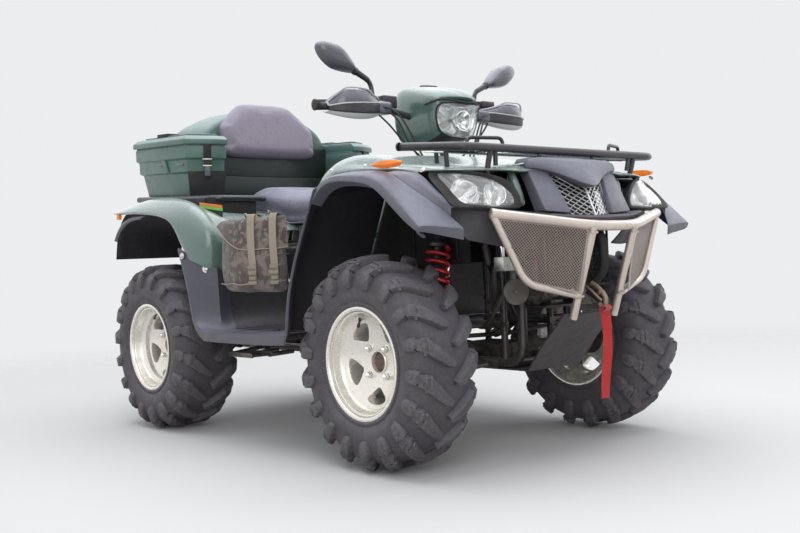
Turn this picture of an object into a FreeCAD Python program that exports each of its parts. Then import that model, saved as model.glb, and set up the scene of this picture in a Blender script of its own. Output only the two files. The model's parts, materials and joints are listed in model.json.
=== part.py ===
import FreeCAD, Part
import math
import os

# Utility quad bike with a box on its rear rack, in millimetres.
# X points to the vehicle's left, Y to its rear and Z up. While the pieces are made, Y is
# measured back from the front axle; shift_to_middle then puts the origin on the ground
# under the middle of the vehicle.

V = FreeCAD.Vector

# Driving dimensions
WHEELBASE = 1285.0
TYRE_R = 316.0              # wheel centre height and radius to the lugs' tips
LUG_HEIGHT = 22.0
FRONT_TRACK_HALF = 467.0
REAR_TRACK_HALF = 480.0
FRONT_TYRE_W = 212.0
REAR_TYRE_W = 244.0
RIM_R = 152.0               # bead seat of a twelve inch wheel
RIM_FLANGE_R = 165.0
FRONT_RIM_HALF = 88.0
REAR_RIM_HALF = 105.0
WALL = 4.0                  # moulded body panels
FIT = 0.3                   # gap between pieces that meet
RUNNING = 0.06              # radial clearance of a turning fit
KINGPIN_X = 400.0
KNUCKLE_TOP = TYRE_R + 60
KNUCKLE_BOTTOM = TYRE_R - 60
DRIVE_HALF = 70.0           # final drives between the axle shafts
DRIVE_LOW = TYRE_R - 46
DRIVE_HIGH = TYRE_R + 20
HUB_R = 25.0
GUARD_REACH = 505.0         # front of the bull bar, ahead of the front axle
RACK_OVERHANG = 355.0       # back of the rear rack, behind the rear axle
RACK_REACH = WHEELBASE + RACK_OVERHANG
CENTRE_Y = (RACK_REACH - GUARD_REACH) / 2.0


def box(x0, x1, y0, y1, z0, z1):
    return Part.makeBox(x1 - x0, y1 - y0, z1 - z0, V(x0, y0, z0))


def rod(start, end, radius):
    a, b = V(*start), V(*end)
    return Part.makeCylinder(radius, (b - a).Length, a, b - a)


def polygon(points):
    return Part.makePolygon([V(*p) for p in points] + [V(*points[0])])


def slab(outline, x0, x1):
    """A side outline of (y, z) points, as wide as x0 to x1."""
    face = Part.Face(polygon([(x0, y, z) for y, z in outline]))
    return face.extrude(V(x1 - x0, 0, 0))


def plate(outline, z0, z1):
    """A plan outline of (x, y) points, as high as z0 to z1."""
    face = Part.Face(polygon([(x, y, z0) for x, y in outline]))
    return face.extrude(V(0, 0, z1 - z0))


def front_slab(outline, y0, y1):
    """A front outline of (x, z) points, as deep as y0 to y1."""
    face = Part.Face(polygon([(x, y0, z) for x, z in outline]))
    return face.extrude(V(0, y1 - y0, 0))


def flat(points):
    """A face on the points, or a fan of triangles about their middle where they aren't in a plane."""
    corners = [V(*p) for p in points]
    across = (corners[1] - corners[0]).cross(corners[2] - corners[1])
    if across.Length > 0 and all(abs((c - corners[0]).dot(across.normalize())) < 1e-8 for c in corners):
        return [Part.Face(polygon(points))]
    if len(points) == 3:
        return []
    if len(points) == 4:
        # The right half is split along the mirror image of the left half's diagonals
        a, b, c, d = points[1:] + points[:1] if sum(p[0] for p in points) < 0 else points
        return [Part.Face(polygon([a, b, c])), Part.Face(polygon([a, c, d]))]
    middle = sum(corners[1:], corners[0]) * (1.0 / len(corners))
    return [Part.Face(polygon([a, b, middle])) for a, b in zip(points, points[1:] + points[:1])]


def loft(sections):
    """A solid skinned with flat faces over rings that have equally many points."""
    faces = flat(sections[0]) + flat(sections[-1])
    for low, high in zip(sections, sections[1:]):
        for i in range(len(low)):
            j = (i + 1) % len(low)
            faces += flat([low[i], low[j], high[j], high[i]])
    return solid_of(faces)


def solid_of(faces):
    shell = Part.makeShell(faces)
    shell.sewShape()
    solid = Part.makeSolid(shell.Shells[0])
    if solid.Volume < 0:
        solid.reverse()
    return solid


def grid_faces(grid):
    """Flat faces over a grid of points, two triangles where four points aren't in a plane."""
    faces = []
    for row, after in zip(grid, grid[1:]):
        for i in range(len(row) - 1):
            faces += flat([row[i], row[i + 1], after[i + 1], after[i]])
    return faces


def lowered(grid, wall):
    """The grid moved down its own normals by the wall."""
    rows, columns = len(grid), len(grid[0])
    points = [[V(*p) for p in row] for row in grid]
    under = []
    for i in range(rows):
        line = []
        for j in range(columns):
            across = points[min(i + 1, rows - 1)][j] - points[max(i - 1, 0)][j]
            along = points[i][min(j + 1, columns - 1)] - points[i][max(j - 1, 0)]
            line.append(tuple(points[i][j] - across.cross(along).normalize() * wall))
        under.append(line)
    return under


def arch(stations, wall):
    """A thin shell under the grid of (x, line of (y, z) points) stations across the vehicle."""
    top = [[(x, y, z) for y, z in line] for x, line in stations]
    under = lowered(top, wall)
    faces = grid_faces(top) + grid_faces(under)
    sides = [(top[0], under[0]), (top[-1], under[-1]),
             ([row[0] for row in top], [row[0] for row in under]),
             ([row[-1] for row in top], [row[-1] for row in under])]
    for edge, low_edge in sides:
        faces += grid_faces([edge, low_edge])
    return solid_of(faces)


def behind(line):
    """Points whose y is measured from the rear axle, measured from the front axle."""
    return [(WHEELBASE + y, z) for y, z in line]


def mirrored(shape):
    return shape.mirror(V(0, 0, 0), V(1, 0, 0))


def pair(shape):
    return [shape, mirrored(shape)]


def fuse(shapes):
    whole = shapes[0].fuse(shapes[1:]) if len(shapes) > 1 else shapes[0]
    return whole.removeSplitter()


def clear_of(shape, *others):
    """The largest solid that is left when its neighbours' space is taken out of a shape."""
    for other in others:
        for solid in other.Solids:
            shape = shape.cut(solid)
    return max(shape.Solids, key=lambda solid: solid.Volume)


def all_clear_of(shapes, *others):
    return [clear_of(shape, *others) for shape in shapes]


def tube(points, radius, bend):
    """A round tube along straight runs joined by tangent arcs of the bend radius."""
    path = [V(*p) for p in points]
    edges = []
    start = path[0]
    for before, corner, after in zip(path, path[1:], path[2:]):
        into, out = (corner - before).normalize(), (after - corner).normalize()
        turn = into.getAngle(out)
        if turn < 0.01:
            continue
        reach = bend * math.tan(turn / 2)
        first, last = corner - into * reach, corner + out * reach
        inward = (out - into).normalize()
        middle = corner + inward * (bend / math.cos(turn / 2) - bend)
        edges.append(Part.LineSegment(start, first).toShape())
        edges.append(Part.Arc(first, middle, last).toShape())
        start = last
    edges.append(Part.LineSegment(start, path[-1]).toShape())
    ring = Part.Wire(Part.Circle(path[0], path[1] - path[0], radius).toShape())
    return Part.Wire(edges).makePipeShell([ring], True, False)


def turned(profile, centre, axis=(1, 0, 0)):
    """A closed (along, radius) profile turned about an axis through the centre."""
    face = Part.Face(polygon([(a, 0, r) for a, r in profile]))
    solid = face.revolve(V(0, 0, 0), V(1, 0, 0), 360)
    solid.Placement = FreeCAD.Placement(V(*centre), FreeCAD.Rotation(V(1, 0, 0), V(*axis)))
    return solid


# Wheels, made round the X axis with +X outward

LUGS_A_SIDE = 18
# Tread lug in plan: share of the half width, then distance round the tread
LUG_OUTLINE = [(0.05, -30), (0.42, -16), (0.72, 8), (1.1, 14),
               (1.1, 46), (0.62, 38), (0.36, 14), (0.05, 0)]


def tyre(width, rim_half):
    half = width / 2
    crown = TYRE_R - LUG_HEIGHT
    bead = rim_half - 4 - FIT
    right = [(bead, RIM_R), (bead, RIM_FLANGE_R + 3), (half - 8, 222), (half - 20, crown - 16)]
    points = right + [(-x, r) for x, r in right[::-1]]
    p = [V(x, 0, r) for x, r in points]
    side = V(half - 12, 0, 193)
    shoulder = V(half - 10, 0, 262)
    edges = [
        Part.LineSegment(p[0], p[1]).toShape(),
        Part.Arc(p[1], side, p[2]).toShape(),
        Part.Arc(p[2], shoulder, p[3]).toShape(),
        Part.Arc(p[3], V(0, 0, crown), p[4]).toShape(),
        Part.Arc(p[4], V(-shoulder.x, 0, shoulder.z), p[5]).toShape(),
        Part.Arc(p[5], V(-side.x, 0, side.z), p[6]).toShape(),
        Part.LineSegment(p[6], p[7]).toShape(),
        Part.LineSegment(p[7], p[0]).toShape(),
    ]
    carcass = Part.Face(Part.Wire(edges)).revolve(V(0, 0, 0), V(1, 0, 0), 360)
    tips = [(-half, 250), (-half, 272), (18 - half, TYRE_R - 9), (-24, TYRE_R), (24, TYRE_R),
            (half - 18, TYRE_R - 9), (half, 272), (half, 250)]
    envelope = turned(tips, (0, 0, 0))
    prisms = []
    step = 360.0 / LUGS_A_SIDE
    for side_sign, first in ((1, 0.0), (-1, step / 2)):
        for i in range(LUGS_A_SIDE):
            outline = [(side_sign * share * half, along, 252) for share, along in LUG_OUTLINE]
            block = Part.Face(polygon(outline)).extrude(V(0, 0, 90))
            block.rotate(V(0, 0, 0), V(1, 0, 0), first + i * step + 180)
            prisms.append(block)
    lugs = envelope.common(Part.makeCompound(prisms))
    return carcass.fuse(lugs.Solids)


SPOKES = 5
DISC_FACE = 18.0            # outer face of the wheel disc, out from the tyre's middle


def rim(half, hub_length):
    """Wheel with its hub: flanged barrel, five-spoke disc, cap and the sleeve that turns."""
    seat, lip = RIM_R - FIT, RIM_FLANGE_R
    outer = [(half + 4, lip), (half - 4, lip), (half - 4, seat), (half - 30, seat), (half - 42, 134),
             (20 - half, 134), (12 - half, seat), (4 - half, seat), (4 - half, lip), (-half - 4, lip)]
    inner = [(-half - 4, lip - 10), (6 - half, 143), (24 - half, 127), (half - 48, 127),
             (half - 34, 143), (half + 4, 152)]
    barrel = turned(outer + inner, (0, 0, 0))
    disc = turned([(DISC_FACE, 0), (DISC_FACE, 62), (DISC_FACE + 8, 80), (DISC_FACE + 12, 128),
                   (DISC_FACE - 4, 128), (DISC_FACE - 8, 80), (DISC_FACE - 14, 62), (DISC_FACE - 14, 0)],
                  (0, 0, 0))
    window = Part.Face(polygon([(-50, -7, 76), (-50, 7, 76), (-50, 50, 112), (-50, 32, 121),
                                (-50, -32, 121), (-50, -50, 112)])).extrude(V(120, 0, 0))
    for i in range(SPOKES):
        cut = window.copy()
        cut.rotate(V(0, 0, 0), V(1, 0, 0), i * 360.0 / SPOKES)
        disc = disc.cut(cut)
    cap = turned([(DISC_FACE, 0), (DISC_FACE, 32), (DISC_FACE + 8, 30), (DISC_FACE + 12, 24), (DISC_FACE + 12, 0)],
                 (0, 0, 0))
    sleeve = rod((DISC_FACE - 14, 0, 0), (DISC_FACE - 14 - hub_length, 0, 0), HUB_R)
    return fuse([barrel, disc, cap, sleeve])


def place_wheel(shape, track_half, y):
    left = shape.copy()
    left.translate(V(track_half, y, TYRE_R))
    return {"left": left, "right": mirrored(left)}


# Steering knuckles

HUB_SLEEVE = 62.0
ARM_BACK = 78.0             # steering arm behind the kingpin
ARM_TOP = TYRE_R + 36


def knuckle():
    """Left upright: bearing barrel, top and bottom ball lugs and the arm behind."""
    barrel = rod((KINGPIN_X + 12, 0, TYRE_R), (KINGPIN_X + 52, 0, TYRE_R), 44)
    post = loft([
        [(KINGPIN_X - 16, -22, KNUCKLE_BOTTOM), (KINGPIN_X + 20, -22, KNUCKLE_BOTTOM),
         (KINGPIN_X + 20, 22, KNUCKLE_BOTTOM), (KINGPIN_X - 16, 22, KNUCKLE_BOTTOM)],
        [(KINGPIN_X + 14, -34, TYRE_R - 30), (KINGPIN_X + 40, -34, TYRE_R - 30),
         (KINGPIN_X + 40, 34, TYRE_R - 30), (KINGPIN_X + 14, 34, TYRE_R - 30)],
        [(KINGPIN_X + 14, -34, TYRE_R + 30), (KINGPIN_X + 40, -34, TYRE_R + 30),
         (KINGPIN_X + 40, 34, TYRE_R + 30), (KINGPIN_X + 14, 34, TYRE_R + 30)],
        [(KINGPIN_X - 16, -22, KNUCKLE_TOP), (KINGPIN_X + 20, -22, KNUCKLE_TOP),
         (KINGPIN_X + 20, 22, KNUCKLE_TOP), (KINGPIN_X - 16, 22, KNUCKLE_TOP)],
    ])
    arm = plate([(KINGPIN_X + 16, 10), (KINGPIN_X + 38, 20), (KINGPIN_X + 14, ARM_BACK + 12),
                 (KINGPIN_X - 12, ARM_BACK + 12), (KINGPIN_X - 12, ARM_BACK - 12)],
                ARM_TOP - 12, ARM_TOP)
    bore = rod((KINGPIN_X - 60, 0, TYRE_R), (KINGPIN_X + 80, 0, TYRE_R), HUB_R + RUNNING)
    return fuse([barrel, post, arm]).cut(bore)


# Steering column, leaning back at the top

COLUMN_RAKE = math.radians(28)
COLUMN_TOP = V(0, 232, 1000)
COLUMN_UP = V(0, math.sin(COLUMN_RAKE), math.cos(COLUMN_RAKE))
COLUMN_BACK = V(0, math.cos(COLUMN_RAKE), -math.sin(COLUMN_RAKE))
COLUMN_R = 14.0
PITMAN_Z = DRIVE_HIGH + 67  # foot of the column, over the front drive
COLUMN_LENGTH = (COLUMN_TOP.z - PITMAN_Z) / math.cos(COLUMN_RAKE)
PITMAN_BACK = 68.0
PITMAN_HALF = 24.0
PITMAN_THICK = 8.0
# How far the pitman arm's eyes dip below their rest height as the raked column turns
PITMAN_DIP = (math.hypot(PITMAN_BACK, PITMAN_HALF) - PITMAN_BACK) * math.sin(COLUMN_RAKE)
BAR_R = 11.0
GRIP_R = 16.0
# Half of the handlebar: x, y, z
BAR_LINE = [(0, 250, 1062), (90, 262, 1085), (215, 282, 1118), (300, 290, 1120), (452, 312, 1112)]


def along_column(distance, back=0.0, side=0.0):
    """A point on the steering column's axis, measured down from its top."""
    return COLUMN_TOP - COLUMN_UP * distance + COLUMN_BACK * back + V(side, 0, 0)


def handlebar():
    top, foot = along_column(0), along_column(COLUMN_LENGTH)
    column = Part.makeCylinder(COLUMN_R, COLUMN_LENGTH, foot, COLUMN_UP)
    stalk = rod(tuple(top), (0, 252, 1062), 13)
    left = BAR_LINE[1:]
    right = [(-x, y, z) for x, y, z in left[::-1]]
    bar = tube(right + left, BAR_R, 60)
    arm = Part.makeBox(2 * PITMAN_HALF + 24, PITMAN_BACK + 14, PITMAN_THICK)
    arm.translate(V(-PITMAN_HALF - 12, 0, 0))
    arm.Placement = FreeCAD.Placement(
        foot - V(0, 0, 0), FreeCAD.Rotation(V(1, 0, 0), COLUMN_BACK, COLUMN_UP, "XYZ")
    ).multiply(arm.Placement)
    clamp = box(-60, 60, 240, 284, 1046, 1092)
    return fuse([column, stalk, bar, arm, clamp])


def tie_rod():
    """Left tie rod from the pitman arm's eye to a ball end over the knuckle's arm."""
    inner = along_column(COLUMN_LENGTH, PITMAN_BACK, PITMAN_HALF) - COLUMN_UP * FIT
    outer = V(KINGPIN_X, ARM_BACK, ARM_TOP + PITMAN_DIP + FIT)
    eye = Part.makeCylinder(13, 16, inner, COLUMN_UP * -1)
    ball = Part.makeCylinder(13, 20, outer, V(0, 0, 1))
    shaft = rod(tuple(inner - COLUMN_UP * 10), tuple(outer + V(0, 0, 10)), 7)
    return fuse([eye, ball, shaft])


GRIP_START = 318.0


def controls():
    """Rubber grips, switch boxes with the fluid reservoirs, and the levers."""
    inner, outer = V(*BAR_LINE[3]), V(*BAR_LINE[4])
    way = (outer - inner).normalize()
    grip = Part.makeCylinder(GRIP_R, (outer - inner).Length - 14, inner + way * 20, way)
    housing = box(232, 292, 256, 312, 1102, 1150)
    lever = tube([(270, 262, 1112), (330, 226, 1112), (440, 244, 1104)], 6, 30)
    return pair(fuse([grip, housing, lever]))


def hand_guards():
    """Open shields round the grips, with a tapered nose outboard."""
    outline = [(205, 262), (262, 222), (380, 206), (446, 238), (452, 290),
               (446, 290), (440, 242), (378, 212), (264, 228), (209, 266)]
    shield = plate(outline, 1076, 1150)
    return pair(shield)


POD_SECTIONS = [
    # y, half width, bottom z, top z, top half width
    (196, 62, 1022, 1078, 52),
    (215, 100, 1000, 1130, 70),
    (262, 118, 985, 1186, 84),
    (360, 122, 985, 1204, 88),
    (425, 112, 1000, 1200, 82),
    (452, 90, 1030, 1186, 66),
]


def pod():
    """Instrument and lamp pod above the bars."""
    sections = []
    for y, half, low, high, top in POD_SECTIONS:
        middle = (low + high) / 2
        sections.append([(-half * 0.72, y, low), (half * 0.72, y, low), (half, y, middle),
                         (top, y, high), (-top, y, high), (-half, y, middle)])
    return loft(sections)


def pod_lens():
    return loft([
        [(-46, 200, 1040), (46, 200, 1040), (60, 200, 1070), (40, 200, 1084), (-40, 200, 1084), (-60, 200, 1070)],
        [(-70, 236, 1030), (70, 236, 1030), (88, 236, 1080), (58, 236, 1128), (-58, 236, 1128), (-88, 236, 1080)],
    ])


def mirrors():
    """Round-edged mirror heads on bent stems."""
    stem = tube([(246, 288, 1150 + FIT), (240, 296, 1200), (310, 280, 1252)], 5.5, 20)
    head = loft([
        [(296, 250, 1222), (430, 246, 1262), (462, 250, 1296), (420, 252, 1330), (320, 254, 1318), (286, 254, 1280)],
        [(304, 292, 1232), (426, 288, 1268), (452, 290, 1296), (414, 292, 1322), (326, 294, 1310), (296, 294, 1280)],
    ])
    return pair(fuse([stem, head]))


# Frame and running gear

RAIL_R = 15.0
RAIL_X = 105.0
RAIL_Z = TYRE_R - 32
RAIL_TOP_Z = 690.0
CROSS_R = 13.0
PIVOT_RAIL_R = 12.0
UPRIGHT_R = 11.0
ARM_SPAN = 105.0
UPPER_ARM_Z = TYRE_R + 84
ARM_TUBE_R = 8.0
BALL_R = 16.0
BALL_HEIGHT = 32.0
SLEEVE_R = 14.0
DAMPER_X = 268.0
FRAME_REAR = WHEELBASE + 255
FLOOR_Z = RAIL_Z + 104
BEARING_DOWN = 350.0        # steering bearing, down the column
SEAT_BASE_Z = 758.0
SHELF_Z = 690.0
WINCH_Z = 458.0


def pivot_rails():
    """Short rails on both sides that carry the upper arms: side, axle."""
    return [rod((side * RAIL_X, axle - 150, UPPER_ARM_Z), (side * RAIL_X, axle + 150, UPPER_ARM_Z), PIVOT_RAIL_R)
            for side in (-1, 1) for axle in (0, WHEELBASE)]


def frame():
    lower = tube([(RAIL_X, -215, 640), (RAIL_X, -215, RAIL_Z), (RAIL_X, FRAME_REAR - 100, RAIL_Z),
                  (RAIL_X, FRAME_REAR - 40, 640)], RAIL_R, 60)
    upper = tube([(RAIL_X, -345, SHELF_Z - FIT - RAIL_R), (RAIL_X, -215, SHELF_Z - FIT - RAIL_R),
                  (RAIL_X, 330, RAIL_TOP_Z), (RAIL_X, FRAME_REAR, RAIL_TOP_Z)], RAIL_R, 120)
    parts = pair(lower) + pair(upper) + pivot_rails()
    # Cross tubes: y, z
    for y, z in ((-215, 640), (-175, RAIL_Z), (175, RAIL_Z), (400, RAIL_Z), (640, RAIL_Z), (330, RAIL_TOP_Z),
                 (WHEELBASE - 425, RAIL_TOP_Z), (WHEELBASE - 175, RAIL_Z), (WHEELBASE + 115, RAIL_Z),
                 (FRAME_REAR - 20, RAIL_TOP_Z)):
        parts.append(rod((-RAIL_X, y, z), (RAIL_X, y, z), CROSS_R))
    # Uprights between the rails: y
    for y in (-140, 140, 760, WHEELBASE - 135, WHEELBASE + 125):
        parts += pair(rod((RAIL_X, y, RAIL_Z), (RAIL_X, y, RAIL_TOP_Z - 12), UPRIGHT_R))
    # Arms over the shock absorbers' heads: y, z at the rail, z at the shock
    for (top, _), z in zip(SHOCKS, (678, RAIL_TOP_Z)):
        parts += pair(rod((RAIL_X, top[1], z), (top[0] + 6, top[1], top[2] + EYE_R + 12), 10))
    # Footboard brackets: y
    for y in (470, 740):
        parts += pair(tube([(RAIL_X, y, RAIL_Z), (200, y, FLOOR_Z - WALL - FIT - 10),
                            (560, y, FLOOR_Z - WALL - FIT - 10)], 10, 60))
    post_y = WHEELBASE - 425
    seat_posts = pair(rod((RAIL_X - 20, post_y, RAIL_TOP_Z), (RAIL_X - 20, post_y, SEAT_BASE_Z - FIT), 11))
    winch_plate = box(-RAIL_X, RAIL_X, -310, -205, WINCH_Z - 6, WINCH_Z)
    centre = along_column(BEARING_DOWN)
    bearing = Part.makeCylinder(26, 44, centre - COLUMN_UP * 22, COLUMN_UP)
    arms = pair(rod((0, centre.y, centre.z), (RAIL_X, centre.y, 674), 12))
    whole = fuse(parts + seat_posts + [winch_plate, bearing] + arms)
    bore = Part.makeCylinder(COLUMN_R + RUNNING, 300, centre - COLUMN_UP * 150, COLUMN_UP)
    return whole.cut(bore)


def suspension_arms():
    """Upper and lower A-arms of both axles."""
    arms = []
    low_end = KNUCKLE_BOTTOM - FIT - BALL_HEIGHT / 2
    high_end = KNUCKLE_TOP + FIT + BALL_HEIGHT / 2
    for axle in (0.0, WHEELBASE):
        # height at the ball, height at the pivots, half of the pivots' spread, radius of their rail
        for end_z, pivot_z, span, rail_r in ((low_end, RAIL_Z, ARM_SPAN, RAIL_R),
                                             (high_end, UPPER_ARM_Z, ARM_SPAN - 20, PIVOT_RAIL_R)):
            inner = RAIL_X + rail_r + FIT + SLEEVE_R
            end = (KINGPIN_X, axle, end_z)
            share = (DAMPER_X - inner) / (KINGPIN_X - inner)
            brace_y, brace_z = span * (1 - share), pivot_z + share * (end_z - pivot_z)
            legs = [rod((inner, axle + s * span, pivot_z), end, ARM_TUBE_R) for s in (-1, 1)]
            sleeves = [rod((inner, axle + s * span - 22, pivot_z), (inner, axle + s * span + 22, pivot_z), SLEEVE_R)
                       for s in (-1, 1)]
            half = BALL_HEIGHT / 2
            ball = rod((end[0], end[1], end_z - half), (end[0], end[1], end_z + half), BALL_R)
            brace = rod((DAMPER_X, axle - brace_y, brace_z), (DAMPER_X, axle + brace_y, brace_z), ARM_TUBE_R)
            arms += pair(fuse(legs + sleeves + [ball, brace]))
    return arms


ENGINE_LOW = RAIL_Z + CROSS_R + FIT


def engine():
    """Engine and gearbox as one block, with the two final drives as blocks of their own."""
    block = slab([(300, ENGINE_LOW), (720, ENGINE_LOW), (740, 470), (640, 640), (360, 640), (290, 520)], -88, 88)
    front_drive = box(-DRIVE_HALF, DRIVE_HALF, -90, 90, DRIVE_LOW, DRIVE_HIGH)
    rear_drive = box(-DRIVE_HALF, DRIVE_HALF, WHEELBASE - 90, WHEELBASE + 90, DRIVE_LOW, DRIVE_HIGH)
    propeller = rod((0, 80, TYRE_R), (0, 310, TYRE_R + 24), 14)
    rear_shaft = rod((0, 710, TYRE_R + 24), (0, WHEELBASE - 80, TYRE_R), 14)
    return fuse([block, front_drive, rear_drive, propeller, rear_shaft])


# Half shaft: x, radius
SHAFT_PROFILE = [(DRIVE_HALF + FIT, 0), (DRIVE_HALF + FIT, 14), (124, 14), (124, 30), (150, 36), (195, 20), (204, 12),
                 (298, 12), (304, 22), (346, 36), (356, 32), (356, 0)]


def drive_shafts():
    shafts = []
    for y in (0.0, WHEELBASE):
        shafts += pair(turned(SHAFT_PROFILE, (0, y, TYRE_R)))
    return shafts


def rear_uprights():
    barrel = rod((KINGPIN_X + 12, WHEELBASE, TYRE_R), (KINGPIN_X + 62, WHEELBASE, TYRE_R), 44)
    post = slab([(WHEELBASE - 20, KNUCKLE_BOTTOM), (WHEELBASE + 20, KNUCKLE_BOTTOM),
                 (WHEELBASE + 34, TYRE_R - 30), (WHEELBASE + 34, TYRE_R + 30),
                 (WHEELBASE + 20, KNUCKLE_TOP), (WHEELBASE - 20, KNUCKLE_TOP),
                 (WHEELBASE - 34, TYRE_R + 30), (WHEELBASE - 34, TYRE_R - 30)], KINGPIN_X - 14, KINGPIN_X + 30)
    bore = rod((KINGPIN_X - 60, WHEELBASE, TYRE_R), (KINGPIN_X + 90, WHEELBASE, TYRE_R), HUB_R + RUNNING)
    return pair(fuse([barrel, post]).cut(bore))


EYE_R = 14.0
FOOT_Z = UPPER_ARM_Z + ARM_TUBE_R + FIT + EYE_R - 4
# Shock absorbers of the left side: top (x, y, z), foot (x, y, z)
SHOCKS = [
    ((240, 0, 676), (DAMPER_X, 0, FOOT_Z)),
    ((244, WHEELBASE, 664), (DAMPER_X, WHEELBASE, FOOT_Z)),
]
SPRING_R = 33.0
SPRING_WIRE_R = 6.5
SPRING_TURNS = 7
SPRING_STEPS = 10


LOWER_SEAT = 52.0           # up from the foot's eye
UPPER_SEAT = 30.0           # down from the top's eye


def dampers():
    shocks = []
    for top, foot in SHOCKS:
        a, b = V(*foot), V(*top)
        way = (b - a).normalize()
        length = (b - a).Length
        body = Part.makeCylinder(20, length * 0.55, a + way * 8, way)
        shaft = Part.makeCylinder(8, length, a, way)
        lower_seat = Part.makeCylinder(42, 6, a + way * LOWER_SEAT, way)
        upper_seat = Part.makeCylinder(42, 8, b - way * UPPER_SEAT, way)
        head = Part.makeCylinder(20, UPPER_SEAT - 8, b - way * UPPER_SEAT, way)
        eyes = [Part.makeCylinder(EYE_R, 26, p - V(0, 13, 0), V(0, 1, 0)) for p in (a, b)]
        shocks += pair(fuse([body, shaft, lower_seat, upper_seat, head] + eyes))
    return shocks


def spring(start, end):
    """Coil spring between two seats, with a five-sided wire."""
    a, b = V(*start), V(*end)
    way = (b - a).normalize()
    length = (b - a).Length
    across = way.cross(V(0, 1, 0)).normalize()
    second = way.cross(across)
    sections = []
    count = SPRING_TURNS * SPRING_STEPS
    travel = length - 2 * SPRING_WIRE_R
    for i in range(count + 1):
        turn = 2 * math.pi * i / SPRING_STEPS
        out = across * math.cos(turn) + second * math.sin(turn)
        middle = a + way * (SPRING_WIRE_R + travel * i / count)
        ring = []
        for k in range(5):
            angle = 2 * math.pi * k / 5
            ring.append(middle + out * (SPRING_R + SPRING_WIRE_R * math.cos(angle)) + way * (SPRING_WIRE_R * math.sin(angle)))
        sections.append([tuple(p) for p in ring])
    return loft(sections)


def springs():
    coils = []
    for top, foot in SHOCKS:
        a, b = V(*foot), V(*top)
        way = (b - a).normalize()
        start, end = a + way * (LOWER_SEAT + 6 + FIT), b - way * (UPPER_SEAT + FIT)
        coils += pair(spring(tuple(start), tuple(end)))
    return coils


# Body panels

SKID_Z = RAIL_Z - RAIL_R - FIT
SKID_LINE = [(-388, 436), (-300, 345), (-240, SKID_Z), (-60, SKID_Z), (230, SKID_Z)]


def skid_plate():
    """Bent guard plate under the front, up to the foot of the bull bar."""
    return arch([(-RAIL_X - 12, SKID_LINE), (RAIL_X + 12, SKID_LINE)], 5)


# Front fender from the middle outward: x, then (y, z) from front to back
FRONT_FENDER = [
    (0, [(-345, 868), (-220, 882), (-80, 902), (60, 936), (160, 950), (230, 940), (268, 915)]),
    (240, [(-338, 842), (-220, 868), (-80, 894), (60, 930), (150, 942), (225, 912), (268, 850)]),
    (450, [(-248, 842), (-180, 866), (-80, 890), (60, 926), (136, 936), (205, 898), (262, 812)]),
    (548, [(-205, 850), (-150, 862), (-80, 874), (40, 884), (105, 878), (175, 846), (238, 796)]),
]
COLUMN_HOLE_R = 30.0


def full_width(stations):
    return [(-x, line) for x, line in stations[:0:-1]] + stations


def front_fender():
    top = along_column(0)
    hole = Part.makeCylinder(COLUMN_HOLE_R, 200, top - COLUMN_UP * 150, COLUMN_UP)
    return arch(full_width(FRONT_FENDER), WALL).cut(hole)


# Front flare of the left side: x, then (y, z) from the front foot to the back
FLARE_START = FRONT_FENDER[-1][0] + FIT
FRONT_FLARE = [
    (FLARE_START, [(-350, 676), (-302, 720), (-244, 796)] + FRONT_FENDER[-1][1]),
    (604, [(-318, 676), (-268, 722), (-214, 770), (-180, 800), (-140, 822), (-50, 834), (30, 840), (84, 834), (128, 812), (150, 786)]),
]
# Lamp surround, inboard of the flare's front: x, then (y, z)
SURROUND = [
    (454, [(-378, 660), (-336, 700), (-300, 752), (-268, 800), (-246, 836)]),
    (FLARE_START, [(-350, 676), (-302, 720), (-270, 762), (-244, 796), (-205, 850)]),
]
REAR_LINER = [
    (250, behind([(185, 850), (275, 822), (335, 740), (355, 660)])),
    (545, behind([(185, 870), (275, 822), (335, 740), (355, 660)])),
]


def flares():
    """Front flares with the lamp surrounds, and the liners behind the rear wheels."""
    return pair(fuse([arch(FRONT_FLARE, WALL), arch(SURROUND, WALL)])) + pair(arch(REAR_LINER, WALL))


# Rear fender from the middle outward: x, then (y behind the rear axle, z) from the front foot to the back
REAR_FENDER = [(x, behind(line)) for x, line in [
    (0, [(-385, 742), (-355, 770), (-310, 800), (-255, 826), (-165, 840), (15, 850), (165, 852), (305, 850)]),
    (250, [(-415, 742), (-380, 780), (-335, 812), (-275, 838), (-175, 852), (5, 862), (165, 862), (315, 852)]),
    (548, [(-473, 640), (-477, 716), (-439, 786), (-380, 836), (-293, 866), (-25, 884), (155, 874), (305, 846)]),
    (606, [(-383, 640), (-349, 690), (-317, 726), (-275, 766), (-219, 796), (-119, 820), (55, 834), (205, 840)]),
]]


def rear_fender():
    return arch(full_width(REAR_FENDER), WALL)


# Leg panel of the left side: x, then (y, z) down the splash wall, along the floor and up
LEG_PANEL = [
    (196, [(262, 900), (385, 640), (470, 470), (500, FLOOR_Z)]
     + behind([(-505, FLOOR_Z), (-435, 410), (-395, 520), (-355, 780)])),
    (480, [(272, 840), (372, 690), (452, 530), (478, FLOOR_Z)]
     + behind([(-485, FLOOR_Z), (-419, 412), (-393, 520), (-360, 720)])),
    (598, [(120, 840), (212, 680), (285, 530), (300, FLOOR_Z)]
     + behind([(-463, FLOOR_Z), (-389, 420), (-383, 514), (-310, 700)])),
]


def leg_panel():
    return arch(LEG_PANEL, WALL)


def tank_cover():
    """Green centre body between the knees, from the fender back to the seat."""
    sections = []
    # y, half width low, z low, half width high, z high
    for y, low, high, z_high in ((262, 150, 120, 946), (380, 165, 120, 930), (500, 168, 112, 868), (562, 150, 100, 820)):
        z_low = RAIL_TOP_Z + RAIL_R + FIT
        sections.append([(-low, y, z_low), (low, y, z_low), (low, y, z_low + 90), (high, y, z_high),
                         (-high, y, z_high), (-low, y, z_low + 90)])
    return loft(sections)


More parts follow.
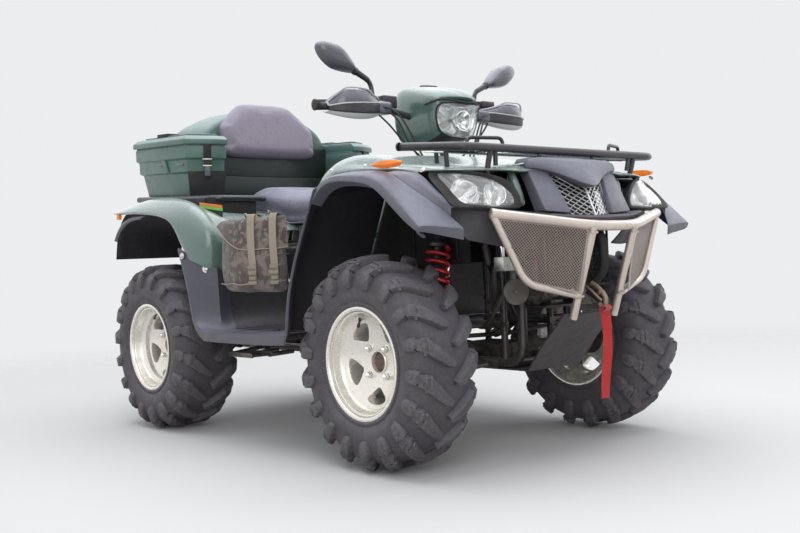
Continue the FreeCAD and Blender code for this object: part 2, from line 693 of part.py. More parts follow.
def side_covers():
    """Panels under the seat, above the engine."""
    under_seat, under_tank = SEAT_BASE_Z - FIT, RAIL_TOP_Z + RAIL_R
    outline = [(500, 470), (850, 500), (885, 640), (880, under_seat), (700, under_seat), (600, under_tank), (420, under_tank),
               (400, 600)]
    return pair(slab(outline, 142, 148))


SEAT_SECTIONS = [
    # y, half width low, z low, half width high, z high
    (566, 120, SEAT_BASE_Z, 84, 862),
    (650, 142, SEAT_BASE_Z, 116, 880),
    (WHEELBASE - 385, 165, SEAT_BASE_Z, 140, 880),
    (WHEELBASE - 225, 172, 825, 146, 902),
    (WHEELBASE - 105, 160, 842, 132, 910),
]


def seat():
    sections = []
    for y, low, z_low, high, z_high in SEAT_SECTIONS:
        middle = z_low + (z_high - z_low) * 0.6
        sections.append([(-low, y, z_low), (low, y, z_low), (low, y, middle), (high, y, z_high),
                         (-high, y, z_high), (-low, y, middle)])
    return loft(sections)


# Nose in section, from its end to the middle: x, then (y, z) of the front lip, brow, back and underside
NOSE = [
    (191, (-342, 866), (-342, 884), (-300, 886), (-300, 864)),
    (110, (-356, 862), (-350, 888), (-300, 890), (-310, 860)),
    (0, (-432, 792), (-354, 891), (-300, 892), (-350, 800)),
]


def nose_cap():
    """V-shaped nose over the upper grille, with its two slanted pillars."""
    sections = [[(side * x, y, z) for y, z in points]
                for side, rows in ((-1, NOSE), (1, NOSE[-2::-1])) for x, *points in rows]
    pillar = loft([
        [(186, -336, 875), (146, -346, 875), (146, -320, 875), (186, -310, 875)],
        [(132, -424, 720), (96, -432, 720), (96, -406, 720), (132, -398, 720)],
    ])
    return fuse([loft(sections)] + pair(pillar))


GRILLE_BAR = 5.0
GRILLE_STEP = 44.0


def grilles():
    """The flat grille in front of the radiator, of crossed bars in a rim."""
    low, high = 520, SHELF_Z - FIT
    outline = [(-140, low), (140, low), (140, high), (-140, high)]
    whole = front_slab(outline, -356, -350)
    opening = front_slab([(-130, low + 10), (130, low + 10), (130, high - 10), (-130, high - 10)], -360, -340)
    mesh = lattice(whole, (-140, 140), (low, high), -356, -350)
    return [fuse([mesh, whole.cut(opening)])]


def lattice(outline, x_range, z_range, y0, y1):
    """Crossed slanted bars, kept inside a flat outline, in a rim of their own."""
    bars = []
    height = z_range[1] - z_range[0]
    count = int((x_range[1] - x_range[0] + 2 * height) / GRILLE_STEP)
    for i in range(count):
        x = x_range[0] - height + i * GRILLE_STEP
        for lean in (1, -1):
            x_low = x if lean > 0 else x + height
            bars.append(front_slab([(x_low, z_range[0]), (x_low + GRILLE_BAR, z_range[0]),
                                    (x_low + GRILLE_BAR + lean * height, z_range[1]),
                                    (x_low + lean * height, z_range[1])], y0, y1))
    mesh = bars[0].fuse(bars[1:]).common(outline)
    return mesh


SHELF_OUTLINE = [(452, -262, 758), (330, -350, 738), (150, -424, 720), (0, -438, 714)]


def bumper_shelf():
    """Front bumper under the lamps: x, front y and top z from its end to the middle."""
    sections = []
    for x, y, z in [(-x, y, z) for x, y, z in SHELF_OUTLINE] + SHELF_OUTLINE[-2::-1]:
        sections.append([(x, y, z), (x, y, SHELF_Z), (x, y + 90, SHELF_Z), (x, y + 90, z)])
    return loft(sections)


def headlight():
    lens = loft([
        [(450, -246, 846), (446, -330, 730), (250, -352, 730), (215, -340, 860)],
        [(446, -190, 858), (440, -250, 730), (252, -290, 730), (218, -280, 866)],
    ])
    return lens


GUARD_TOP_R = 17.0
GUARD_TUBE_R = 13.0
GUARD_SIDE = (371, -367, 725)
GUARD_TOP = (92, -488, 683)
GUARD_FOOT = (92, -401, 419)
GUARD_ELBOW = (96, -430, 486)
GUARD_CORNER = (265, -384, 529)


def front_guard():
    """Bull bar: top rail, two uprights and the lower tubes at each side."""
    rail = tube([(-GUARD_SIDE[0], GUARD_SIDE[1], GUARD_SIDE[2]), (-GUARD_TOP[0], GUARD_TOP[1], GUARD_TOP[2]),
                 GUARD_TOP, GUARD_SIDE], GUARD_TOP_R, 60)
    upright = rod(GUARD_TOP, GUARD_FOOT, GUARD_TUBE_R)
    lower = tube([GUARD_ELBOW, GUARD_CORNER, GUARD_SIDE], GUARD_TUBE_R, 40)
    cross = rod((-96, -432, 486), (96, -432, 486), 9)
    stay = rod((92, -444, 552), (RAIL_X, -215, 552), 10)
    return fuse([rail, cross] + pair(upright) + pair(lower) + pair(stay))


PANEL_THICK = 3.0


def guard_panels():
    """Sheets that fill each side of the bull bar, between its tubes' centre lines."""
    corners = [GUARD_TOP, GUARD_SIDE, GUARD_CORNER, GUARD_ELBOW]
    back = [(x, y + PANEL_THICK, z) for x, y, z in corners]
    return pair(loft([corners, back]))


RACK_R = 12.0
FRONT_RACK_LOW = (-325, 910)
FRONT_RACK_HIGH = (-110, 930)


def front_rack():
    (y0, z0), (y1, z1) = FRONT_RACK_LOW, FRONT_RACK_HIGH
    hoop = tube([(-462, y1, z1), (-424, y0, z0), (424, y0, z0), (462, y1, z1)], RACK_R, 50)
    crosses = [rod((-440, y0 + s * (y1 - y0), z0 + s * (z1 - z0)), (440, y0 + s * (y1 - y0), z0 + s * (z1 - z0)), 8)
               for s in (0.4, 0.8)]
    posts = []
    for x, y, z in ((320, y0, z0), (300, -153, 926)):
        posts += pair(rod((x, y, z), (x, y + 20, z - 70), 8))
    return fuse([hoop] + crosses + posts)


REAR_RACK_LOW = (WHEELBASE - 275, 868.0)
REAR_RACK_HIGH = (RACK_REACH, 906.0)
REAR_RACK_X = 430.0
SEAT_GAP_X = 200.0
SEAT_GAP_Y = WHEELBASE - 79
DECK_BARS = (WHEELBASE + 41, WHEELBASE + 191)


def rack_height(y):
    (y0, z0), (y1, z1) = REAR_RACK_LOW, REAR_RACK_HIGH
    return z0 + (z1 - z0) * (y - y0) / (y1 - y0)


POST_R = 10.0


def deck_posts(radius):
    """The posts of the rear rack, or wider rods for their holes in the fender."""
    posts = []
    for y in DECK_BARS:
        foot, head = V(RAIL_X, y, RAIL_TOP_Z + RAIL_R), V(RAIL_X + 40, y, rack_height(y))
        post = rod(tuple(foot), tuple(head), radius)
        post.rotate(foot, head - foot, radius * 5)
        posts += pair(post)
    return posts


def rear_rack():
    """Tube deck round the back of the seat, on posts from the frame."""
    y0, y1 = REAR_RACK_LOW[0], REAR_RACK_HIGH[0]
    plan = [(REAR_RACK_X, y1), (REAR_RACK_X, y0), (SEAT_GAP_X, y0), (SEAT_GAP_X, SEAT_GAP_Y)]
    plan = [(-x, y) for x, y in plan] + plan[::-1]
    hoop = tube([(x, y, rack_height(y)) for x, y in plan], RACK_R, 40)
    bars = [rod((-REAR_RACK_X, y, rack_height(y)), (REAR_RACK_X, y, rack_height(y)), r)
            for y, r in [(y1 - RACK_R, RACK_R)] + [(y, 8) for y in DECK_BARS]]
    return fuse([hoop] + bars + deck_posts(POST_R))


BOX_TILT = math.degrees(math.atan2(REAR_RACK_HIGH[1] - REAR_RACK_LOW[1], REAR_RACK_HIGH[0] - REAR_RACK_LOW[0]))
BOX_Y = (WHEELBASE - 155, RACK_REACH - 18)
BIN_IN_X = 306.0
BIN_CHAMFER_X = 390.0
BIN_OUT_X = 452.0
BIN_CHAMFER_Y = 62.0
BIN_TAPER = 16.0
BOX_WALL = 5.0
BOX_LOW_Z = rack_height(BOX_Y[0]) + RACK_R + 0.5
BOX_HEIGHT = 196.0
LID_HEIGHT = 36.0
LID_LIP = 8.0
RECESS_Y = BOX_Y[0] + 200    # front of the box between the bins
DOME_RISE = 150.0


def tilt(shape):
    leaned = shape.copy()
    leaned.rotate(V(0, BOX_Y[0], BOX_LOW_Z), V(1, 0, 0), BOX_TILT)
    return leaned


def bin_ring(z, inside=0.0, grow=0.0):
    """The left bin's plan at a height; inside shrinks it all round, grow widens its outer sides."""
    y0, y1 = BOX_Y
    return [(BIN_IN_X + inside, y0 + inside - grow, z), (BIN_CHAMFER_X - inside * 0.4 + grow * 0.4, y0 + inside - grow, z),
            (BIN_OUT_X - inside + grow, y0 + BIN_CHAMFER_Y + inside * 0.4 - grow * 0.4, z),
            (BIN_OUT_X - inside + grow, y1 - inside + grow, z), (BIN_IN_X + inside, y1 - inside + grow, z)]


HINGE_R = 5.0
HINGE_X = BIN_IN_X + 2 * FIT + HINGE_R
HINGE_Z = BOX_LOW_Z + BOX_HEIGHT + FIT + LID_HEIGHT
HINGE_EAR = 34.0
# Ranges along the box of the two fixed ears of a hinge
HINGE_EARS = [(BOX_Y[0] + 230, BOX_Y[0] + 230 + HINGE_EAR), (BOX_Y[1] - 30 - HINGE_EAR, BOX_Y[1] - 30)]


def hinge_rod(y0, y1, radius):
    return rod((HINGE_X, y0, HINGE_Z), (HINGE_X, y1, HINGE_Z), radius)


def cargo_box():
    z0, z1 = BOX_LOW_Z, BOX_LOW_Z + BOX_HEIGHT
    y1 = BOX_Y[1]
    outer = loft([bin_ring(z0, 0, -BIN_TAPER), bin_ring(z1)])
    inner = loft([bin_ring(z0 + BOX_WALL, BOX_WALL, -BIN_TAPER), bin_ring(z1, BOX_WALL)])
    side_bin = outer.cut(inner)
    x = BIN_IN_X
    shoulder = z1 + LID_HEIGHT
    dome = front_slab([(-x, z0), (x, z0), (x, shoulder), (x - 40, shoulder + 90), (138, z1 + DOME_RISE),
                       (-138, z1 + DOME_RISE), (40 - x, shoulder + 90), (-x, shoulder)], RECESS_Y, y1)
    back_slope = slab([(y1 - 150, z1 + DOME_RISE + 5), (y1 + 5, z1 + 60), (y1 + 5, z1 + DOME_RISE + 5)], -x - 5, x + 5)
    ears = []
    for y0, y1 in HINGE_EARS:
        web = box(x - 30, HINGE_X, y0, y1, HINGE_Z, HINGE_Z + HINGE_R)
        ears += pair(fuse([hinge_rod(y0, y1, HINGE_R), web]))
    return tilt(fuse(pair(side_bin) + [dome.cut(back_slope)] + ears))


def box_lid():
    """Left bin's lid, hinged along its upper inner edge."""
    z = BOX_LOW_Z + BOX_HEIGHT + FIT
    low, mid, high = bin_ring(z, 0, LID_LIP), bin_ring(z + LID_HEIGHT * 0.6, 0, LID_LIP), bin_ring(z + LID_HEIGHT, 0, -14)
    gap = BIN_IN_X + FIT * 2
    rings = [[(max(px, gap), py, pz) for px, py, pz in ring] for ring in (low, mid, high)]
    ends = [BOX_Y[0] + 8] + [y for ear in HINGE_EARS for y in ear] + [BOX_Y[1] + 4]
    barrels = [hinge_rod(y0 + FIT, y1 - FIT, HINGE_R) for y0, y1 in (ends[0:2], ends[2:4])]
    notches = [box(gap - 5, HINGE_X + HINGE_R + 3, y0 - FIT, y1 + FIT, HINGE_Z - HINGE_R - 3, HINGE_Z + HINGE_R + 3)
               for y0, y1 in HINGE_EARS]
    lid = fuse([loft(rings)] + barrels)
    return tilt(clear_of(lid, *notches))


PAD_FRONT = (RECESS_Y - 68, 1066.0)
PAD_LEAN = 0.27
# Backrest outline: x, height above its lower edge
PAD_OUTLINE = [(218, 0), (231, 84), (222, 164), (120, 220)]


def backrest_pad():
    y0, z0 = PAD_FRONT
    outline = PAD_OUTLINE + [(-x, z) for x, z in PAD_OUTLINE[::-1]]
    def ring(back, share):
        return [(x * share, y0 + back + z * PAD_LEAN, z0 + z) for x, z in outline]
    return loft([ring(0, 0.94), ring(16, 1.0), ring(60, 1.0)])


BAG_LENGTH = 314.0


def side_bag():
    """Soft bag that hangs in the right footwell, against the fender's front."""
    back = REAR_FENDER[2][1][1][0] + 14
    front = back - BAG_LENGTH
    return loft([
        [(-572, front + 20, 540), (-572, back - 10, 536), (-566, back - 6, 730), (-566, front + 8, 738)],
        [(-470, front + 8, 530), (-470, back, 526), (-462, back, 748), (-462, front, 752)],
    ])


def winch():
    drum = rod((-40, -262, WINCH_Z + FIT + 40), (84, -262, WINCH_Z + FIT + 40), 34)
    motor = rod((-84, -262, WINCH_Z + FIT + 40), (-40, -262, WINCH_Z + FIT + 40), 40)
    plate_x = GUARD_FOOT[0]
    y = -424
    fairlead = box(-plate_x, plate_x, y, y + 8, 448, 500)
    slot = box(-56, 56, y - 10, y + 20, 464, 486)
    return [fuse([drum, motor]), fairlead.cut(slot)]


def winch_hook():
    """Clevis hook resting in the fairlead's slot."""
    shank = rod((0, -416, 472), (0, -444, 468), 7.9)
    eye = tube([(-14, -444, 480), (-14, -450, 440), (14, -450, 440), (14, -444, 480)], 5, 13)
    bridge = rod((-14, -444, 476), (14, -444, 476), 7)
    return fuse([shank, eye, bridge])


def hook_strap():
    return box(-14, 14, -452, -448, 184, 440 - 5 - FIT)


def marker_lights():
    front = box(540, 566, -216, -106, 860, 886)
    rear = box(590, 602, WHEELBASE + 155, WHEELBASE + 207, 806, 850)
    return pair(front) + pair(rear)


def muffler():
    can = rod((200, WHEELBASE + 60, 590), (200, WHEELBASE + 305, 606), 54)
    pipe = tube([(56, 690, 500), (56, 800, 530), (56, WHEELBASE - 95, 560), (200, WHEELBASE + 75, 590)], 17, 60)
    tail = rod((200, WHEELBASE + 295, 606), (200, WHEELBASE + 335, 608), 18)
    return fuse([can, pipe, tail])


HITCH_HOLE_R = 9.5


def hitch():
    low = RAIL_Z + CROSS_R + FIT
    front, back = WHEELBASE + 100, FRAME_REAR + 30
    tongue = plate([(-32, front), (32, front), (32, back), (-32, back)], low, low + 8)
    hole = rod((0, back - 30, low - 10), (0, back - 30, low + 20), HITCH_HOLE_R)
    return tongue.cut(hole)


def shift_to_middle(shape):
    moved = shape.copy()
    moved.translate(V(0, -CENTRE_Y, 0))
    return moved


def build():
    nodes = {}
    front_tyres = place_wheel(tyre(FRONT_TYRE_W, FRONT_RIM_HALF), FRONT_TRACK_HALF, 0)
    rear_tyres = place_wheel(tyre(REAR_TYRE_W, REAR_RIM_HALF), REAR_TRACK_HALF, WHEELBASE)
    front_rims = place_wheel(rim(FRONT_RIM_HALF, HUB_SLEEVE), FRONT_TRACK_HALF, 0)
    rear_rims = place_wheel(rim(REAR_RIM_HALF, HUB_SLEEVE), REAR_TRACK_HALF, WHEELBASE)
    for side in ("left", "right"):
        nodes["tyre_front_" + side] = [front_tyres[side]]
        nodes["tyre_rear_" + side] = [rear_tyres[side]]
        nodes["rim_front_" + side] = [front_rims[side]]
        nodes["rim_rear_" + side] = [rear_rims[side]]
    nodes["knuckle_left"], nodes["knuckle_right"] = [[s] for s in pair(knuckle())]
    nodes["tie_rod_left"], nodes["tie_rod_right"] = [[s] for s in pair(tie_rod())]
    nodes["box_lid_left"], nodes["box_lid_right"] = [[s] for s in pair(box_lid())]
    bars = handlebar()
    grips = all_clear_of(controls(), bars)
    lens = pod_lens()
    nodes["handlebar"] = [bars]
    nodes["controls"] = grips
    nodes["hand_guards"] = all_clear_of(hand_guards(), bars, *grips)
    nodes["pod"] = [clear_of(pod(), bars, lens)]
    nodes["pod_lens"] = [clear_of(lens, bars)]
    nodes["mirrors"] = all_clear_of(mirrors(), *grips)
    chassis = frame()
    nodes["frame"] = [chassis]
    nodes["engine"] = [engine()]
    nodes["suspension_arms"] = suspension_arms()
    nodes["drive_shafts"] = drive_shafts()
    nodes["rear_uprights"] = rear_uprights()
    nodes["dampers"] = dampers()
    nodes["springs"] = springs()
    nodes["skid_plate"] = [skid_plate()]
    hood = front_fender()
    nose = nose_cap()
    rack = clear_of(front_rack(), hood)
    bench = seat()
    deck = clear_of(rear_rack(), chassis)
    tail = clear_of(rear_fender(), bench, *deck_posts(POST_R + 2), deck)
    side_flares = all_clear_of(flares(), hood, tail)
    tank = clear_of(tank_cover(), hood)
    bumper = bumper_shelf()
    guard = clear_of(front_guard(), chassis)
    nodes["front_fender"] = [hood]
    nodes["flares"] = side_flares
    nodes["rear_fender"] = [tail]
    nodes["leg_panels"] = pair(clear_of(leg_panel(), hood, tail, tank, chassis, *side_flares))
    nodes["tank_cover"] = [tank]
    nodes["side_covers"] = side_covers()
    nodes["seat"] = [bench]
    nodes["nose_cap"] = [clear_of(nose, hood, bumper, rack)]
    nodes["grilles"] = all_clear_of(grilles(), guard)
    nodes["bumper_shelf"] = [clear_of(bumper, *side_flares)]
    nodes["headlights"] = pair(clear_of(headlight(), bumper, nose, hood, rack, *side_flares))
    nodes["front_guard"] = [guard]
    nodes["guard_panels"] = all_clear_of(guard_panels(), guard)
    nodes["front_rack"] = [rack]
    nodes["rear_rack"] = [deck]
    trunk = cargo_box()
    nodes["cargo_box"] = [trunk]
    nodes["backrest_pad"] = [clear_of(backrest_pad(), trunk)]
    nodes["side_bag"] = [clear_of(side_bag(), tail, *nodes["leg_panels"])]
    nodes["winch"] = all_clear_of(winch(), guard)
    nodes["winch_hook"] = [clear_of(winch_hook(), guard, *nodes["winch"])]
    nodes["hook_strap"] = [hook_strap()]
    nodes["marker_lights"] = all_clear_of(marker_lights(), hood, tail, *side_flares)
    nodes["muffler"] = [clear_of(muffler(), nodes["engine"][0], chassis)]
    nodes["hitch"] = [hitch()]
    return nodes


def main():
    os.makedirs("parts", exist_ok=True)
    for name, shapes in build().items():
        solids = [solid for shape in shapes for solid in shape.Solids]
        whole = solids[0] if len(solids) == 1 else Part.makeCompound(solids)
        shift_to_middle(whole).exportStep("parts/" + name + ".step")


main()
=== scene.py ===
import json
import math

import bmesh
import bpy
from mathutils import Matrix, Vector

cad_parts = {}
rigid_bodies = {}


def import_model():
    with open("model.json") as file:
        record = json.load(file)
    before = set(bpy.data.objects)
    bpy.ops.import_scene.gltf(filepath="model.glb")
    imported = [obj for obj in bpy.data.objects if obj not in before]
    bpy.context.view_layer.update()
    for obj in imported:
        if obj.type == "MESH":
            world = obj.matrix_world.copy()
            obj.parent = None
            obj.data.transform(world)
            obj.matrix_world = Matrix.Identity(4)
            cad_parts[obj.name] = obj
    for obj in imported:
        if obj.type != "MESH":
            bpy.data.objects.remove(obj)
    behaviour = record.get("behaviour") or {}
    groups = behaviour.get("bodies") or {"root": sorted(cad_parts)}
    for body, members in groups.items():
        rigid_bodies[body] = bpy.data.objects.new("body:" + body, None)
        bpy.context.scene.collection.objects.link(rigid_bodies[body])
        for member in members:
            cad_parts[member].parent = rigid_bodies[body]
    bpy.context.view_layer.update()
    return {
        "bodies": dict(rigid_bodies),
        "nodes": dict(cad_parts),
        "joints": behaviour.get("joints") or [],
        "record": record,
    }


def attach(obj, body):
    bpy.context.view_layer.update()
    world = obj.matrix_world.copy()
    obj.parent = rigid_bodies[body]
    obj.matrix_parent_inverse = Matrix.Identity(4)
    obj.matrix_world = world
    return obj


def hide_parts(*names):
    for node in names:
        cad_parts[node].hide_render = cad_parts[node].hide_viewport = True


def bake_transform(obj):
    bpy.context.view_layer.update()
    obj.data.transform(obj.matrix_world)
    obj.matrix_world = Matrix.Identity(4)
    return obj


# Utility quad bike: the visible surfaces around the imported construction.
# Places are written in millimetres with x to the vehicle's left, y back from the front
# axle and z up, and at() turns them into the frame's metres.

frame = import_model()

MM = 0.001
POINT = 0.01                # radius of a turned form's closed end
AXLE_Y = next(j for j in frame["joints"] if j["name"] == "wheel_front_left_spin")["pos_m"][1]
WHEELBASE = 1285.0
TYRE_R = 316.0


def at(x, y, z):
    return Vector((x * MM, y * MM + AXLE_Y, z * MM))


# Forms: points and faces of one piece


class Form:
    """Points and faces of one mesh, with a material number for each face."""

    def __init__(self):
        self.points, self.faces, self.slots, self.hard = [], [], [], []

    def add(self, points, faces, slot=0, hard=()):
        base = len(self.points)
        self.points += [Vector(p) for p in points]
        self.faces += [[base + i for i in face] for face in faces]
        self.slots += [slot] * len(faces)
        self.hard += [(base + i, base + j) for i, j in hard]
        return self

    def join(self, other):
        return self.add(other.points, other.faces).with_slots(other)

    def with_slots(self, other):
        self.slots[len(self.slots) - len(other.slots):] = other.slots
        base = len(self.points) - len(other.points)
        self.hard += [(base + i, base + j) for i, j in other.hard]
        return self

    def mapped(self, change, flip=False):
        made = Form()
        made.points = [change(p) for p in self.points]
        made.faces = [face[::-1] if flip else face[:] for face in self.faces]
        made.slots = self.slots[:]
        made.hard = self.hard[:]
        return made

    def mirrored(self):
        return self.mapped(lambda p: Vector((-p.x, p.y, p.z)), flip=True)

    def both(self):
        """This form and its mirror image on the other side of the vehicle."""
        return self.mapped(lambda p: p.copy()).join(self.mirrored())

    def moved(self, offset):
        return self.mapped(lambda p: p + offset)

    def turned(self, centre, axis, angle):
        spin = Matrix.Rotation(angle, 3, axis)
        return self.mapped(lambda p: spin @ (p - centre) + centre)


def sheet(form, rows, slot=0, hard_rows=(), hard_columns=(), closed=False):
    """A grid of quads over rows of points."""
    width = len(rows[0])
    faces, hard = [], []
    last = width if closed else width - 1
    for i in range(len(rows) - 1):
        for j in range(last):
            k = (j + 1) % width
            faces.append((i * width + j, i * width + k, (i + 1) * width + k, (i + 1) * width + j))
    for i in hard_rows:
        row = i % len(rows)
        hard += [(row * width + j, row * width + (j + 1) % width) for j in range(last)]
    for j in hard_columns:
        column = j % width
        hard += [(i * width + column, (i + 1) * width + column) for i in range(len(rows) - 1)]
    return form.add([p for row in rows for p in row], faces, slot, hard)


def skin(form, rings, slot=0, caps=True, hard_columns=()):
    """A closed skin over rings of points."""
    width = len(rings[0])
    sheet(form, rings, slot, (), hard_columns, closed=True)
    if caps:
        base = len(form.points) - len(rings) * width
        form.faces += [[base + j for j in range(width)][::-1],
                       [base + (len(rings) - 1) * width + j for j in range(width)]]
        form.slots += [slot, slot]
    return form


def rounded(points, bend, steps=6):
    """Straight runs whose corners are turned into arcs of about the bend length."""
    path = [points[0]]
    for before, corner, after in zip(points, points[1:], points[2:]):
        into, out = corner - before, after - corner
        reach = min(bend, into.length * 0.48, out.length * 0.48)
        start, end = corner - into.normalized() * reach, corner + out.normalized() * reach
        for i in range(steps + 1):
            t = i / steps
            path.append(start * (1 - t) ** 2 + corner * 2 * t * (1 - t) + end * t * t)
    return path + [points[-1]]


def curve(a, b, c, d, steps):
    """Points of a smooth curve from b up to c, with a before them and d after."""
    square, cube = a * 2 - b * 5 + c * 4 - d, b * 3 - a - c * 3 + d
    return [(b * 2 + (c - a) * t + square * t * t + cube * t ** 3) * 0.5
            for t in (i / steps for i in range(steps))]


def flowing(points, steps=6):
    """A smooth line through the points."""
    ends = [points[0] * 2 - points[1]] + list(points) + [points[-1] * 2 - points[-2]]
    line = []
    for four in zip(ends, ends[1:], ends[2:], ends[3:]):
        line += curve(*four, steps)
    return line + [points[-1]]


def smooth_loop(points, steps=5):
    """A closed smooth line through the points."""
    count = len(points)
    line = []
    for k in range(count):
        line += curve(*(points[(k + i - 1) % count] for i in range(4)), steps)
    return line


def rows_at(rows):
    """Rows of places in millimetres as points."""
    return [[at(*p) for p in row] for row in rows]


def rings_inside(loop, middle, out, steps):
    """Rings inside a loop: share of the way from the middle, and rise along out in millimetres."""
    return [[middle.lerp(p, share) + out * rise * MM for p in loop] for share, rise in steps]


def tube(form, path, radius, sides=14, flat=1.0, caps=True):
    """A tube along a path; radius may be a list, and flat squeezes it upright."""
    radii = radius if isinstance(radius, (list, tuple)) else [radius] * len(path)
    way = (path[1] - path[0]).normalized()
    across = (Vector((0, 0, 1)) if abs(way.z) < 0.9 else Vector((0, 1, 0))).cross(way).normalized()
    rings = []
    for i, centre in enumerate(path):
        ahead = (path[min(i + 1, len(path) - 1)] - path[max(i - 1, 0)]).normalized()
        across = (across - ahead * across.dot(ahead)).normalized()
        second = ahead.cross(across)
        rings.append([centre + (across * math.cos(a) + second * math.sin(a) * flat) * radii[i] * MM
                      for a in (2 * math.pi * k / sides for k in range(sides))])
    return skin(form, rings, 0, caps)


def lathe(form, profile, centre, axis, steps=64, slot=0, closed=False):
    """A profile of (along, radius) millimetres turned about an axis through the centre."""
    along = Vector(axis).normalized()
    across = along.orthogonal().normalized()
    second = along.cross(across)
    line = profile + profile[:1] if closed else profile
    width = len(line)
    points, faces = [], []
    for k in range(steps):
        angle = 2 * math.pi * k / steps
        out = across * math.cos(angle) + second * math.sin(angle)
        points += [centre + (along * a + out * r) * MM for a, r in line]
        here, ahead = k * width, (k + 1) % steps * width
        faces += [(here + j + 1, here + j, ahead + j, ahead + j + 1) for j in range(width - 1)]
    return form.add(points, faces, slot)


def prism(form, outline, depth, slot=0):
    """A flat outline of points pushed along a depth vector."""
    return skin(form, [outline, [p + depth for p in outline]], slot)


def brick(form, low, high, slot=0):
    """A block between two corners given in millimetres."""
    (x0, y0, z0), (x1, y1, z1) = low, high
    outline = [at(x0, y0, z0), at(x1, y0, z0), at(x1, y1, z0), at(x0, y1, z0)]
    return prism(form, outline, Vector((0, 0, (z1 - z0) * MM)), slot)


def bolt(form, place, direction, radius, height):
    """A domed bolt head on its washer."""
    washer = 1.2
    top = washer + height
    profile = [(0, radius * 1.5), (0.8, radius * 1.5), (washer, radius),
               (washer + height * 0.5, radius * 0.94), (top, radius * 0.55), (top, POINT)]
    return lathe(form, profile, place, direction, 14)


# Pieces: meshes in the scene

# Walls of the moulded pieces, and the cloth solver's settings
PANEL_WALL = 3.5
COVER_WALL = 3
CLOTH_FRAMES = 20
CLOTH_SMOOTHING = 4
HELD_BELOW = -0.7           # a face normal's z under which a cushion's point is held
WELD = 0.00002


def solidify(obj, wall, even, lining):
    """Gives a sheet its wall, inward, with a look of its own on the inside."""
    change = obj.modifiers.new("wall", "SOLIDIFY")
    change.thickness = wall * MM
    change.offset = -1
    change.use_even_offset = even
    change.material_offset = lining
    return change


def subdivide(obj, levels):
    """Smooths a mesh and keeps the corners of its open edges."""
    change = obj.modifiers.new("smooth", "SUBSURF")
    change.levels = change.render_levels = levels
    change.boundary_smooth = "PRESERVE_CORNERS"
    return change


def bevel(obj, width, segments=2, angle=35):
    """Rounds the edges over the angle."""
    change = obj.modifiers.new("edges", "BEVEL")
    change.width = width * MM
    change.segments = segments
    change.limit_method = "ANGLE"
    change.angle_limit = math.radians(angle)
    change.harden_normals = False
    return change


def settle(obj, angle=40):
    """Applies the modifiers, so that the piece holds its final mesh."""
    bpy.context.view_layer.update()
    shown = obj.evaluated_get(bpy.context.evaluated_depsgraph_get())
    mesh = bpy.data.meshes.new_from_object(shown)
    old = obj.data
    obj.modifiers.clear()
    obj.data = mesh
    bpy.data.meshes.remove(old)
    for polygon in mesh.polygons:
        polygon.use_smooth = True
    mesh.set_sharp_from_angle(angle=math.radians(angle))
    return obj


def piece(name, form, looks, replaces=None, slot=None, body="chassis", wall=0, levels=0, edge=0, segments=2,
          angle=40, crease=1.0, even=True, lining=0):
    """A piece of the vehicle from a form: subdivided, given a wall and rounded edges, in that order.

    looks are names in LOOKS; replaces is the construction's node that the piece stands for; slot is not
    used;
    wall, edge and angle are in millimetres and degrees; lining is the look on the inside.
    """
    mesh = bpy.data.meshes.new(name)
    mesh.from_pydata([tuple(p) for p in form.points], [], form.faces)
    for polygon, number in zip(mesh.polygons, form.slots):
        polygon.material_index = number
    for look in [looks] if isinstance(looks, str) else looks:
        mesh.materials.append(LOOKS[look])
    obj = bpy.data.objects.new(name, mesh)
    bpy.context.scene.collection.objects.link(obj)
    weld(mesh, form.hard if levels else (), crease)
    if levels:
        subdivide(obj, levels)
    if wall:
        solidify(obj, wall, even, lining)
    if edge:
        bevel(obj, edge, segments)
    settle(obj, angle)
    if body:
        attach(obj, body)
    if replaces:
        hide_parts(replaces)
    return obj


def panel(name, rows, looks, replaces=None, slot=None, body="chassis", wall=PANEL_WALL, hard_rows=(),
          hard_columns=(), **how):
    """A moulded panel from rows of places on its left half, with its mirror image."""
    form = sheet(Form(), rows_at(rows), 0, hard_rows, hard_columns).both()
    return piece(name, form, looks, replaces, slot, body, wall, 2, **how)


def weld(mesh, hard, crease):
    """Joins points that meet, marks the hard edges and turns the faces outward."""
    edit = bmesh.new()
    edit.from_mesh(mesh)
    edit.verts.ensure_lookup_table()
    layer = edit.edges.layers.float.get("crease_edge") or edit.edges.layers.float.new("crease_edge")
    for i, j in hard:
        found = edit.edges.get((edit.verts[i], edit.verts[j]))
        if found:
            found[layer] = crease
    bmesh.ops.remove_doubles(edit, verts=edit.verts, dist=WELD)
    bmesh.ops.recalc_face_normals(edit, faces=edit.faces)
    edit.to_mesh(mesh)
    edit.free()


